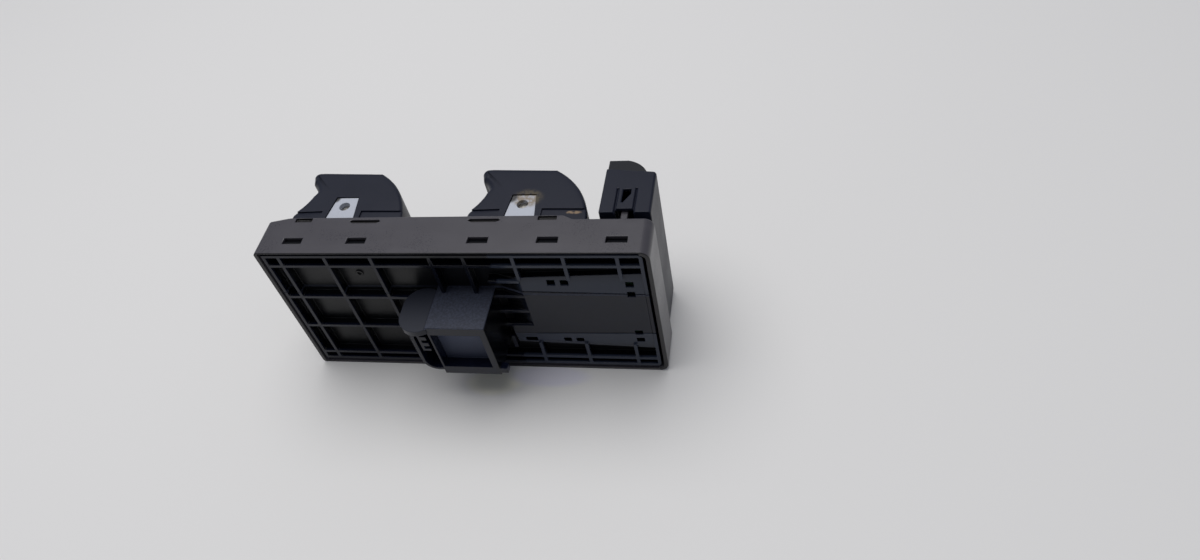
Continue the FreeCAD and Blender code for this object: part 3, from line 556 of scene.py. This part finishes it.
def cover_material(s):
    """Black moulding with faint dust, painted shade down in its pockets, and painted shadow beside the
    plug and on its end.
    The tub's strips carry a painted reflection. The plug's near side and floor are grained and painted
    lighter as painted light, with a painted highlight near the floor's top and a painted shade line at
    the crease by the ear."""
    material, tree, shader, where, shade = moulded(
        "Cover plastic", s.colour, s.roughness, 0.0003, depth=0.000006, mottle=0.2, specular=0.3
    )
    x, y, z = split(tree, where)
    powder = noise(tree, where, 0.006, detail=5.0, rough=0.7)
    dust = ramp(tree, powder, 0.45, 0.8, 0.0, s.dust)
    shade = blend(tree, dust, shade, scaled(s.colour, 2.2))
    # Painted reflection: the tub's strips are painted paler
    across = maths(tree, "ABSOLUTE", y)
    across = maths(tree, "ADD", across, maths(tree, "MULTIPLY", x, STRIP_SLOPE))
    strip = all_of(
        tree,
        ramp(tree, across, *STRIP_ACROSS),
        fade(tree, z, *STRIP_Z),
        ramp(tree, x, *STRIP_X),
    )
    shade = blend(tree, strip, shade, s.strip)
    # Painted shade down in the pockets
    shade = blend(tree, ramp(tree, z, *POCKET_SHADE_Z), shade, s.painted_shade)
    # Painted shadow of the plug beside it, and painted shade on the plug's end
    beside = all_of(
        tree,
        band(tree, x, *PLUG_SHADOW_X),
        fade(tree, y, *PLUG_SHADOW_Y),
        ramp(tree, z, *PLUG_SHADOW_Z),
        PLUG_SHADOW_SHARE,
    )
    plug_end_shade = all_of(tree, close_to(tree, x, *PLUG_END_X), fade(tree, z, *PLUG_END_Z))
    shade = blend(tree, maths(tree, "MAXIMUM", beside, plug_end_shade), shade, s.painted_shade)
    side = all_of(tree, close_to(tree, y, *PLUG_SIDE_Y), fade(tree, z, *PLUG_SIDE_Z))
    floor = all_of(
        tree,
        close_to(tree, z, *PLUG_FLOOR_Z),
        band(tree, x, *PLUG_FLOOR_X),
        close_to(tree, y, *PLUG_FLOOR_Y),
    )
    seam = all_of(tree, side, close_to(tree, x, *CREASE_SHADE_X))
    ear = all_of(tree, side, fade(tree, x, *EAR_X))
    # Painted light on the plug's near side and floor, speckled with the grain, with a painted highlight
    # near the floor's top, less of it on the ear, and a painted shade line at the crease by the ear
    speckle = ramp(tree, noise(tree, where, 0.0007, detail=3.0, rough=0.7), 0.35, 0.65)
    painted_light_matt = blend(tree, speckle, scaled(s.painted_light_matt, 0.75), scaled(s.painted_light_matt, 1.35))
    inwards = ramp(tree, y, *FLOOR_HIGHLIGHT_Y)
    floor_highlight = blend(tree, inwards, scaled(s.painted_light_matt, 2.7), scaled(s.painted_light_matt, 1.6))
    painted_light_matt = blend(tree, ear, blend(tree, floor, painted_light_matt, floor_highlight), scaled(s.painted_light_matt, 0.6))
    painted_light_matt = blend(tree, seam, painted_light_matt, s.colour)
    # The grained places take the painted light and more roughness
    grained = maths(tree, "MAXIMUM", side, floor)
    paint(tree, shader, blend(tree, grained, shade, painted_light_matt))
    even = shader.inputs["Roughness"].links[0].from_socket
    rough = maths(tree, "ADD", even, ramp(tree, grained, 0.0, 1.0, 0.0, 0.35))
    rough = maths(tree, "ADD", rough, ramp(tree, z, *COVER_FLOOR_Z, 0.0, 0.16))
    tree.links.new(rough, shader.inputs["Roughness"])
    return material


def cap_material(s):
    """Soft satin bluish black, handled smooth, greasy and with a tan worn streak on one rocker."""
    material, tree, shader, where, shade = moulded(
        "Cap plastic", s.colour, s.roughness, 0.00025, depth=0.000012, mottle=0.15, specular=0.25
    )
    patchy = ramp(tree, noise(tree, where, 0.0009, detail=3.0), 0.35, 0.6)
    shade = blend(tree, all_of(tree, spot(tree, where, *WORN_STREAK), patchy), shade, s.worn)
    paint(tree, shader, blend(tree, smear(tree, where), shade, s.grease))
    return material


def smear(tree, where):
    """Share of old grease over the top of one carrier's pad and on the flank above it."""
    cloudy = ramp(tree, noise(tree, where, 0.0012, detail=4.0), 0.3, 0.6, 0.1, 0.85)
    return all_of(tree, spot(tree, where, *GREASE_PATCH), cloudy)


def darker_pad_corners(tree, where):
    """Share of darker colour in the upper front corner of both pads that can be seen."""
    first, second = (spot(tree, where, *patch) for patch in PAD_CORNER_PATCHES)
    patchy = ramp(tree, noise(tree, where, 0.0008, detail=4.0), 0.25, 0.45)
    return all_of(tree, maths(tree, "MAXIMUM", first, second), patchy)


def carrier_material(s):
    """White plastic, a little translucent, with old grease and darker upper corners on the pads."""
    material, tree, shader, where, shade = moulded(
        "Carrier plastic", s.colour, 0.45, 0.0004, depth=0.00001, mottle=0.05
    )
    shader.inputs["Subsurface Weight"].default_value = 0.08
    shader.inputs["Subsurface Radius"].default_value = (0.001, 0.001, 0.001)
    shade = blend(tree, smear(tree, where), shade, s.grease)
    paint(tree, shader, blend(tree, darker_pad_corners(tree, where), shade, s.grime))
    return material


def steel_material(s):
    """Grey steel, finely brushed along the pins."""
    material, tree, shader, where = begin("Pin steel", 0.35, metallic=1.0)
    brushed = noise(tree, where, 0.0006, detail=3.0, stretch=(1.0, 0.08, 1.0))
    paint(tree, shader, blend(tree, brushed, scaled(s.colour, 0.8), scaled(s.colour, 1.15)))
    tree.links.new(ramp(tree, brushed, 0.2, 0.8, 0.28, 0.5), shader.inputs["Roughness"])
    return material


def silicone_material(s):
    """Cloudy grey silicone, a little translucent."""
    material, tree, shader, where = begin("Silicone", 0.4)
    shader.inputs["Subsurface Weight"].default_value = 0.2
    shader.inputs["Subsurface Radius"].default_value = (0.002, 0.002, 0.002)
    cloudy = noise(tree, where, 0.003, detail=3.0)
    paint(tree, shader, blend(tree, cloudy, scaled(s.colour, 0.9), scaled(s.colour, 1.06)))
    tree.links.new(bump(tree, noise(tree, where, 0.0005), 0.00001), shader.inputs["Normal"])
    return material


def board_material(s):
    """Green mask over copper: bands round the cells of a square pattern stand for the tracks."""
    material, tree, shader, where = begin("Board laminate", 0.3)
    cells = add(
        tree,
        "ShaderNodeTexVoronoi",
        {"Vector": where, "Scale": 260.0, "Randomness": 0.75},
        feature="F1",
        distance="CHEBYCHEV",
    ).outputs["Distance"]
    tracks = maths(tree, "PINGPONG", cells, 0.12)
    copper = ramp(tree, tracks, 0.05, 0.07)
    paint(tree, shader, blend(tree, copper, s.colour, s.track))
    tree.links.new(bump(tree, copper, 0.00003), shader.inputs["Normal"])
    return material


def tin_material(s):
    """Dull tin over brass, with cloudy patches."""
    material, tree, shader, where = begin("Tinned brass", 0.3, metallic=1.0)
    cloudy = noise(tree, where, 0.0012, detail=3.0)
    paint(tree, shader, blend(tree, cloudy, scaled(s.colour, 0.85), scaled(s.colour, 1.1)))
    tree.links.new(ramp(tree, cloudy, 0.3, 0.7, 0.22, 0.42), shader.inputs["Roughness"])
    return material


def button_material(s):
    """Matt grey black plastic."""
    return moulded("Button plastic", s.colour, 0.5, 0.0003, depth=0.000015, specular=0.3)[0]


# Rocker cap: x along the module from the pivot, z over the housing's rim, in metres
CAP_HALF = 0.01025
FLANK_LOW = 0.0227
SKIRT_LOW = 0.0168
CAP_TOP = 0.0408
NOSE_X = -0.016
NOSE_RADIUS = 0.002
NOSE_UNDER = 0.0383
SCOOP = (-0.0125, 0.0289)
APRON = (-0.0166, 0.0216)
APRON_BOW = (-0.0003, -0.0014)
SCOOP_BOW = (-0.00045, 0.0006)
FOOT_OUT = 0.0006
SHOULDER_X = 0.0084
SHOULDER_DROP = 0.001
HEEL_X = 0.0209
BACK_SWELL = 0.0033

# The flank's window for the carrier's pad, and the frame that stands out round it
WINDOW_TOP = 0.0288
WINDOW_HALF = 0.0038
WINDOW_LOW = 0.019
WINDOW_LOW_HALF = 0.0049
FRAME_HALF = 0.0066

# Places on the outline that the window's upper corners are ruled to
FRONT_CORNER = (-0.0155, 0.0398)
BACK_CORNER = (0.0115, 0.0365)

# Numbers of outline points: from the apron's foot to where its edge radius ends and to both ends
# of the scoop's, over the lip's, and on the skirt's front and back
APRON_TO = 14
SCOOP_FROM = 18
SCOOP_TO = 30
LIP_RUN = 8
SKIRT_FRONT = 20
SKIRT_BACK = 30

# Steps on the cap's flank, edge and crossing, points on the skirt's corner and end, and its levels
CAP_SPANS = (8, 7, 12)
SKIRT_SPANS = (7, 9)
SKIRT_LEVELS = 9
INNER_EDGE = 0.0002
SKIRT_CORNER = 0.0007


def cap_outline(inset):
    """Side outline (x, z) about the pivot column, moved inwards by inset.
    It runs over foot, apron, scoop, lip, flat top and long back. Each stretch has a fixed number of
    points, so that outlines with other insets pair up point by point."""
    top = CAP_TOP - inset
    radius = NOSE_RADIUS - 0.6 * inset
    nose = NOSE_X + inset
    scoop = np.array(SCOOP) + np.array([inset, inset / 2])
    apron = np.array(APRON) + inset
    under = np.array([nose + 0.35 * radius, NOSE_UNDER - radius + 0.4 * inset])
    shoulder = np.array([SHOULDER_X - inset / 2, top - SHOULDER_DROP])
    heel = np.array([HEEL_X - inset, SKIRT_LOW])
    rise = 1 - math.sqrt(0.5)
    apron_mid = (scoop + apron) / 2 + np.array(APRON_BOW)
    scoop_mid = np.array([scoop[0], (under[1] + scoop[1]) / 2]) + np.array(SCOOP_BOW)
    chord = heel - shoulder
    across = np.array([-chord[1], chord[0]]) / np.linalg.norm(chord)
    swell = across * (BACK_SWELL - inset / 4)
    lip_end = np.array([nose, top - radius])
    stretches = [
        arc(apron, apron_mid, scoop, 16),
        arc(scoop, scoop_mid, under, 16),
        np.linspace(under, lip_end, 4),
        arc(lip_end, (nose + rise * radius, top - rise * radius), (nose + radius, top), 12),
        np.linspace((nose + radius, top), shoulder, 14),
        arc(shoulder, (shoulder + heel) / 2 + swell, heel, 40),
    ]
    foot = np.array([[apron[0] - FOOT_OUT, SKIRT_LOW]])
    return np.concatenate([foot, stretches[0]] + [stretch[1:] for stretch in stretches[1:]])


def cut_outline(line, level):
    """The part of the outline above a level, with its first and last points on the level."""
    front = int(np.argmax(line[:, 1] > level))
    back = len(line) - 1 - int(np.argmax(line[::-1, 1] > level))
    ends = []
    for a, b in ((line[front - 1], line[front]), (line[back], line[back + 1])):
        ends.append([a + (b - a) * (level - a[1]) / (b[1] - a[1])])
    return np.concatenate([ends[0], line[front : back + 1], ends[1]])


def window_half(z):
    """Half width of the window at height z: even at its foot, then narrowing to its top."""
    return np.interp(z, [WINDOW_LOW, WINDOW_TOP], [WINDOW_LOW_HALF, WINDOW_HALF])


def window_line(count, left, right):
    """The window's edge in count points: up its front, over its top and down its back."""
    corners = np.array(
        [
            (-window_half(FLANK_LOW), FLANK_LOW),
            (-WINDOW_HALF, WINDOW_TOP),
            (WINDOW_HALF, WINDOW_TOP),
            (window_half(FLANK_LOW), FLANK_LOW),
        ]
    )
    k = np.arange(count)
    marks = [0, left, right, count - 1]
    return np.stack([np.interp(k, marks, corners[:, 0]), np.interp(k, marks, corners[:, 1])], 1)


def cap_section(line, window, half, radii):
    """Grid over the outline: flank ruled from the window's edge, round edge, crossing, and mirrored.
    radii holds the edge radius at each outline point."""
    flank, turn, cross = CAP_SPANS
    normal = outward(line)
    inset = line - normal * radii[:, None]
    rows = []
    for t in np.linspace(0, 1, flank, endpoint=False):
        at = window + (inset - window) * t
        rows.append(np.stack([at[:, 0], np.full(len(at), -half), at[:, 1]], 1))
    for a in np.linspace(0, math.pi / 2, turn):
        at = inset + normal * (radii * math.sin(a))[:, None]
        rows.append(np.stack([at[:, 0], -half + radii * (1 - math.cos(a)), at[:, 1]], 1))
    crossing = np.linspace(0, 1, cross + 2)[1:-1]
    edge_y = -half + radii
    for t in crossing:
        rows.append(np.stack([line[:, 0], edge_y + (-2 * edge_y) * t, line[:, 1]], 1))
    near = np.stack(rows[: flank + turn], 1)
    far = near[:, ::-1] * np.array([1, -1, 1])
    middle = np.stack(rows[flank + turn :], 1)
    return np.concatenate([near, middle, far], 1)


def skirt_path(front, half, frame_half, corner, window):
    """U-shaped path round one end of the skirt at one level, from one window to the other.
    It runs over the frame beside the window, in by the step, round the end, and the same mirrored.
    front is the end's x, corner its radius, frame_half the frame's y."""
    turn, cross = SKIRT_SPANS
    side = 1 if front > 0 else -1
    inner = front - side * corner
    angles = np.linspace(0, math.pi / 2, turn)
    bend_x = inner + side * corner * np.sin(angles)
    bend_y = -half + corner * (1 - np.cos(angles))
    bend = np.stack([bend_x, bend_y], 1)
    step = side * np.array([window, FRAME_HALF, FRAME_HALF])
    start = np.stack([step, -np.array([frame_half, frame_half, half])], 1)
    near = np.concatenate([start, bend])
    middle_y = np.linspace(-half + corner, half - corner, cross + 2)[1:-1]
    middle = np.stack([np.full(cross, float(front)), middle_y], 1)
    return np.concatenate([near, middle, near[::-1] * np.array([1, -1])])


def cap_shell(s):
    """Upper shell of the cap as one closed wall, from the apron's foot over the lip to the heel."""
    outer_line = cut_outline(cap_outline(0.0), FLANK_LOW)
    inner_line = cut_outline(cap_outline(s.wall), FLANK_LOW)
    share_of = run_share(outer_line)
    inner_line = along(inner_line, share_of)
    front = nearest(outer_line, FRONT_CORNER)
    back = nearest(outer_line, BACK_CORNER)
    window = window_line(len(outer_line), front, back)
    marks = [0, *share_of[[APRON_TO, SCOOP_FROM, SCOOP_TO, front, front + LIP_RUN]], 1]
    sizes = [s.small_edge, s.small_edge, s.scoop_edge, s.scoop_edge, s.lip_edge, s.edge, s.edge]
    radii = np.interp(share_of, marks, sizes)
    inner_radii = np.full(len(outer_line), INNER_EDGE)
    outer = cap_section(outer_line, window, CAP_HALF, radii)
    inner = cap_section(inner_line, window, CAP_HALF - s.wall, inner_radii)
    return thick_sheet(outer, inner)


def skirt_sheet(line, side, half, frame_half, corner):
    """Grid over one end of the skirt, front (-1) or back (1): one path round it for each level."""
    levels = np.linspace(SKIRT_LOW, FLANK_LOW, SKIRT_LEVELS)
    part = line[:SKIRT_FRONT] if side < 0 else line[-SKIRT_BACK:][::-1]
    order = np.argsort(part[:, 1])
    ends = np.interp(levels, part[order, 1], part[order, 0])
    loops = np.stack(
        [skirt_path(x, half, frame_half, corner, window_half(z)) for x, z in zip(ends, levels)]
    )
    heights = np.repeat(levels[:, None], loops.shape[1], 1)
    return np.stack([loops[:, :, 0], loops[:, :, 1], heights], 2)


def cap_parts(s):
    """Upper shell of the cap and the two ends of its set-back skirt, round the pivot column."""
    parts = [cap_shell(s)]
    inner_half = CAP_HALF - s.wall
    for side in (-1, 1):
        outer = skirt_sheet(cap_outline(0.0), side, CAP_HALF - s.step, CAP_HALF, SKIRT_CORNER)
        inner = skirt_sheet(cap_outline(s.wall), side, inner_half, inner_half, INNER_EDGE)
        parts.append(thick_sheet(outer, inner))
    return join_parts(parts)


# Pins, domes and terminals, in metres
PIN_STEPS = 48
SHEET = 0.0006
DOME_REACH = 0.0026
DOME_SLOPE = 0.0009
DOME_OFFSET = 0.0086
DOME_GRID = 0.00016
TERMINALS = 7
BLADE_TIP = 0.0002
BLADE_HALVES = (0.25, 0.42, 0.5, 0.5, 0.42)


def tube_faces(rows, count):
    """Quads round a tube of rows rings with count points each, and one face on each end."""
    i, j = np.meshgrid(np.arange(rows - 1), np.arange(count), indexing="ij")
    a = (i * count + j).ravel()
    b = (i * count + (j + 1) % count).ravel()
    faces = np.stack([a, b, b + count, a + count], 1).tolist()
    faces.append(list(range(count)))
    faces.append(list(range((rows - 1) * count, rows * count)))
    return faces


def turned(profile, centre, count):
    """Solid of revolution about the Y axis through centre, from pairs of radius and y."""
    profile = np.asarray(profile, float)
    angles = np.linspace(0, 2 * math.pi, count, endpoint=False)
    ring = np.stack([np.cos(angles), np.sin(angles)], 1)
    body = profile[:, None, 0, None] * ring[None]
    along_y = np.repeat(profile[:, 1][:, None], count, 1)
    verts = np.stack([body[:, :, 0], along_y, body[:, :, 1]], 2).reshape(-1, 3)
    return verts + np.asarray(centre), tube_faces(len(profile), count)


def pad_parts(low, high, centres):
    """Silicone sheet as a height field over a flat underside.
    It rises to a flat-topped dome at each centre by a smooth step of the distance from it."""
    nx = int((high[0] - low[0]) / DOME_GRID)
    ny = int((high[1] - low[1]) / DOME_GRID)
    along_x = np.linspace(low[0], high[0], nx)
    along_y = np.linspace(low[1], high[1], ny)
    x, y = np.meshgrid(along_x, along_y, indexing="ij")
    z = np.full(x.shape, low[2] + SHEET)
    dome = high[2] - low[2] - SHEET
    for cx, cy in centres:
        away = np.hypot(x - cx, y - cy)
        t = np.clip((DOME_REACH - away) / DOME_SLOPE, 0, 1)
        z = np.maximum(z, low[2] + SHEET + dome * t * t * (3 - 2 * t))
    upper = np.stack([x, y, z], 2)
    lower = np.stack([x, y, np.full(x.shape, low[2])], 2)
    return thick_sheet(upper, lower)


def terminal_parts(x, y, low, high, width):
    """Square blade with bevelled corners, drawn in over both ends and most over its lower tip."""
    heights = np.array([low, low + width * 0.5, low + width, high - BLADE_TIP, high])
    halves = np.array(BLADE_HALVES) * width
    lower = np.array([[-1, -0.8], [-0.8, -1], [0.8, -1], [1, -0.8]])
    section = np.concatenate([lower, -lower])
    rings = section[None] * halves[:, None, None]
    levels = np.repeat(heights[:, None, None], len(section), 1)
    verts = np.concatenate([rings, levels], 2).reshape(-1, 3)
    return verts + np.array([x, y, 0.0]), tube_faces(len(heights), len(section))


# Operators
class SWITCH_OT_housing(bpy.types.Operator):
    """Dress the housing: rounded edges and satin grey plastic"""

    bl_idname = "window_switch.housing"
    bl_label = "Housing"

    def execute(self, context):
        s = context.scene.window_switch.housing
        dressed("housing", s.edge, "module", "housing_plastic", housing_material(s))
        return {"FINISHED"}


class SWITCH_OT_cover(bpy.types.Operator):
    """Dress the bottom cover with its ribs, tub and plug"""

    bl_idname = "window_switch.cover"
    bl_label = "Bottom cover"

    def execute(self, context):
        s = context.scene.window_switch.cover
        dressed("bottom_cover", s.edge, "module", "cover_plastic", cover_material(s))
        return {"FINISHED"}


class SWITCH_OT_rocker_caps(bpy.types.Operator):
    """Make the four rocker caps as smooth shells"""

    bl_idname = "window_switch.rocker_caps"
    bl_label = "Rocker caps"

    def execute(self, context):
        s = context.scene.window_switch.caps
        material = cap_material(s)
        verts, faces = cap_parts(s)
        for n in ROCKERS:
            joint = [j for j in frame["joints"] if j["name"] == "rocker_%d_tilt" % n][0]
            shift = np.array([joint["pos_m"][0], joint["pos_m"][1], 0.0])
            cap = new_mesh("Rocker_cap_%d" % n, verts + shift, faces)
            place(cap, "rocker_%d" % n, "cap_plastic", material, "rocker_cap_%d" % n)
        return {"FINISHED"}


class SWITCH_OT_carriers(bpy.types.Operator):
    """Dress the white carriers inside the rockers"""

    bl_idname = "window_switch.carriers"
    bl_label = "Carriers"

    def execute(self, context):
        s = context.scene.window_switch.carriers
        material = carrier_material(s)
        for n in ROCKERS:
            node = "rocker_carrier_%d" % n
            dressed(node, s.edge, "rocker_%d" % n, "carrier_plastic", material)
        return {"FINISHED"}


class SWITCH_OT_pivot_pins(bpy.types.Operator):
    """Turn the four steel pivot pins"""

    bl_idname = "window_switch.pivot_pins"
    bl_label = "Pivot pins"

    def execute(self, context):
        s = context.scene.window_switch.pins
        material = steel_material(s)
        for n in ROCKERS:
            low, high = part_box("pivot_pin_%d" % n)
            radius = (high.z - low.z) / 2
            half = (high.y - low.y) / 2
            profile = [
                (radius - s.bevel, -half),
                (radius - 0.3 * s.bevel, -half + 0.3 * s.bevel),
                (radius, -half + s.bevel),
            ]
            profile += [(out, -along_y) for out, along_y in reversed(profile)]
            verts, faces = turned(profile, (low + high) / 2, PIN_STEPS)
            pin = new_mesh("Pivot_pin_%d" % n, verts, faces)
            place(pin, "module", "pin_steel", material, "pivot_pin_%d" % n)
        return {"FINISHED"}


class SWITCH_OT_dome_pads(bpy.types.Operator):
    """Make the silicone dome pads as height fields"""

    bl_idname = "window_switch.dome_pads"
    bl_label = "Dome pads"

    def execute(self, context):
        s = context.scene.window_switch.pads
        material = silicone_material(s)
        names = ["dome_pad_%d" % n for n in ROCKERS] + ["lock_dome"]
        for name in names:
            low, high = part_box(name)
            middle = (low + high) / 2
            offsets = (-DOME_OFFSET, DOME_OFFSET) if name != "lock_dome" else (0.0,)
            centres = [(middle.x + offset, middle.y) for offset in offsets]
            verts, faces = pad_parts(low, high, centres)
            pad = new_mesh(name.capitalize(), verts, faces.tolist())
            place(pad, "module", "silicone", material, name)
        return {"FINISHED"}


class SWITCH_OT_board(bpy.types.Operator):
    """Dress the bare circuit board"""

    bl_idname = "window_switch.board"
    bl_label = "Circuit board"

    def execute(self, context):
        s = context.scene.window_switch.board
        dressed("circuit_board", s.edge, "module", "board_laminate", board_material(s))
        return {"FINISHED"}


class SWITCH_OT_terminals(bpy.types.Operator):
    """Make the seven terminals of the plug"""

    bl_idname = "window_switch.terminals"
    bl_label = "Terminals"

    def execute(self, context):
        s = context.scene.window_switch.terminals
        low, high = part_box("connector_pins")
        width = high.y - low.y
        middle = (low.y + high.y) / 2
        places = np.linspace(low.x + width / 2, high.x - width / 2, TERMINALS)
        parts = [terminal_parts(x, middle, low.z, high.z, width) for x in places]
        verts, faces = join_parts(parts)
        pins = new_mesh("Terminals", verts, faces)
        place(pins, "module", "tinned_brass", tin_material(s), "connector_pins")
        return {"FINISHED"}


class SWITCH_OT_lock(bpy.types.Operator):
    """Dress the lock tower and its button"""

    bl_idname = "window_switch.lock"
    bl_label = "Lock tower and button"

    def execute(self, context):
        s = context.scene.window_switch.lock
        caps = context.scene.window_switch.caps
        tower = bpy.data.materials.get("Cap plastic") or cap_material(caps)
        dressed("lock_tower", s.edge, "module", "cap_plastic", tower)
        dressed("lock_button", s.edge, "lock", "button_plastic", button_material(s))
        return {"FINISHED"}


# The studio, in metres: the table just beyond the far wall, a soft lamp on the camera's side of it,
# and the photograph's camera as the part's own perspective gives it, in pixels and unit vectors
TABLE_GAP = 0.00003
TABLE_HALF = 3.0
TOUCHING = 0.0004
LAMP_AT = (-0.15, -1.0, 0.17)
LAMP_SIZE = 1.1
CAMERA_AT = (0.097845, -0.2039, -0.159042)
CAMERA_RIGHT = (0.9774, 0.1583, 0.1403)
CAMERA_DOWN = (0.0046, 0.6475, -0.762)
CAMERA_AHEAD = (-0.2115, 0.7454, 0.6321)
FOCAL_PIXELS = 887.29
PICTURE_PIXELS = 1200
SENSOR_MM = 36.0


def table_material(s):
    """Pale table top, with painted warm and violet light in the plug's shadow. Rays that come from
    behind it, or that start on what touches it, pass through.
    """
    material, tree, shader, where = begin("Table top", 0.6, specular=0.3)
    tone = noise(tree, where, 0.25)
    shade = blend(tree, tone, scaled(s.table, 0.985), scaled(s.table, 1.015))
    # Painted warm and violet light in the plug's shadow
    shade = blend(tree, spot(tree, where, *PAINTED_WARM_LIGHT), shade, s.warm)
    shade = blend(tree, spot(tree, where, *PAINTED_VIOLET_LIGHT), shade, s.violet)
    paint(tree, shader, shade)
    behind = add(tree, "ShaderNodeNewGeometry").outputs["Backfacing"]
    reach = add(tree, "ShaderNodeLightPath").outputs["Ray Length"]
    touching = maths(tree, "LESS_THAN", reach, TOUCHING)
    clear = maths(tree, "MAXIMUM", behind, touching)
    through = add(tree, "ShaderNodeBsdfTransparent")
    mix_shaders(tree, clear, shader, through, "Material Output")
    return material


def mix_shaders(tree, share_of, a, b, output):
    """Shader a where the share is 0 and b where it is 1, as the tree's surface."""
    inputs = {0: share_of, 1: a.outputs[0], 2: b.outputs[0]}
    mix = add(tree, "ShaderNodeMixShader", inputs)
    tree.links.new(mix.outputs[0], tree.nodes[output].inputs["Surface"])


def lay_table(scene, s):
    """Level plane at the far wall, not attached to any body."""
    level = cad_box[1].y + TABLE_GAP
    corners = ((-1, -1), (1, -1), (1, 1), (-1, 1))
    verts = [(x * TABLE_HALF, level, z * TABLE_HALF) for x, z in corners]
    mesh = bpy.data.meshes.new("Table top")
    mesh.from_pydata(verts, [], [(0, 1, 2, 3)])
    mesh.materials.append(table_material(s))
    table = bpy.data.objects.new("Table_top", mesh)
    scene.collection.objects.link(table)


def surround(scene, s):
    """Soft light that is dimmer from below, with an even backdrop for the camera."""
    world = bpy.data.worlds.new("Surround")
    world.use_nodes = True
    scene.world = world
    tree = world.node_tree
    soft = tree.nodes["Background"]
    rise = split(tree, add(tree, "ShaderNodeTexCoord").outputs["Generated"])[2]
    sky = blend(tree, ramp(tree, rise, -0.9, 0.1), scaled(s.sky, 0.45), s.sky)
    tree.links.new(sky, soft.inputs["Color"])
    plain = add(tree, "ShaderNodeBackground", {"Color": (*s.backdrop, 1.0)})
    seen = add(tree, "ShaderNodeLightPath").outputs["Is Camera Ray"]
    mix_shaders(tree, seen, soft, plain, "World Output")


def hang_lamp(scene, s):
    """Large disk lamp that faces the middle of the part."""
    light = bpy.data.lights.new("Soft lamp", "AREA")
    light.shape = "DISK"
    light.size = LAMP_SIZE
    light.energy = s.lamp_power
    light.color = s.lamp_colour
    lamp = bpy.data.objects.new("Soft lamp", light)
    lamp.location = LAMP_AT
    aim = -lamp.location.normalized()
    lamp.rotation_euler = aim.to_track_quat("-Z", "Y").to_euler()
    scene.collection.objects.link(lamp)


def set_camera(scene):
    """Camera at the photograph's place, turned as its picture lies."""
    lens = bpy.data.cameras.new("Camera")
    lens.sensor_width = SENSOR_MM
    lens.lens = FOCAL_PIXELS / PICTURE_PIXELS * SENSOR_MM
    lens.clip_start = 0.01
    camera = bpy.data.objects.new("Camera", lens)
    axes = zip(CAMERA_RIGHT, CAMERA_DOWN, CAMERA_AHEAD)
    rows = [[right, -down, -ahead] for right, down, ahead in axes]
    camera.rotation_mode = "QUATERNION"
    camera.rotation_quaternion = Matrix(rows).to_quaternion()
    camera.location = CAMERA_AT
    scene.collection.objects.link(camera)
    scene.camera = camera


class SWITCH_OT_studio(bpy.types.Operator):
    """Set the table, the soft light and the camera"""

    bl_idname = "window_switch.studio"
    bl_label = "Studio"

    def execute(self, context):
        s = context.scene.window_switch.studio
        lay_table(context.scene, s)
        surround(context.scene, s)
        hang_lamp(context.scene, s)
        set_camera(context.scene)
        context.scene.view_settings.view_transform = "Standard"
        return {"FINISHED"}


OPERATORS = (
    SWITCH_OT_housing,
    SWITCH_OT_cover,
    SWITCH_OT_rocker_caps,
    SWITCH_OT_carriers,
    SWITCH_OT_pivot_pins,
    SWITCH_OT_dome_pads,
    SWITCH_OT_board,
    SWITCH_OT_terminals,
    SWITCH_OT_lock,
    SWITCH_OT_studio,
)


class SWITCH_PT_panel(bpy.types.Panel):
    """Lists the settings and one button for each group of pieces"""

    bl_label = "Window Switch"
    bl_idname = "SWITCH_PT_panel"
    bl_space_type = "VIEW_3D"
    bl_region_type = "UI"
    bl_category = "Window Switch"

    def draw(self, context):
        settings = context.scene.window_switch
        for name in SwitchSettings.__annotations__:
            group = getattr(settings, name)
            box = self.layout.box()
            box.label(text=name.capitalize())
            for key in type(group).__annotations__:
                box.prop(group, key)
        for operator in OPERATORS:
            self.layout.operator(operator.bl_idname)


CLASSES = (
    HousingSettings,
    CoverSettings,
    CapSettings,
    CarrierSettings,
    PinSettings,
    PadSettings,
    BoardSettings,
    TerminalSettings,
    LockSettings,
    StudioSettings,
    SwitchSettings,
    *OPERATORS,
    SWITCH_PT_panel,
)


def register():
    for item in CLASSES:
        bpy.utils.register_class(item)
    bpy.types.Scene.window_switch = bpy.props.PointerProperty(type=SwitchSettings)


def unregister():
    del bpy.types.Scene.window_switch
    for item in reversed(CLASSES):
        bpy.utils.unregister_class(item)


def main():
    register()
    for operator in OPERATORS:
        group, name = operator.bl_idname.split(".")
        getattr(getattr(bpy.ops, group), name)()


if __name__ == "__main__":
    main()
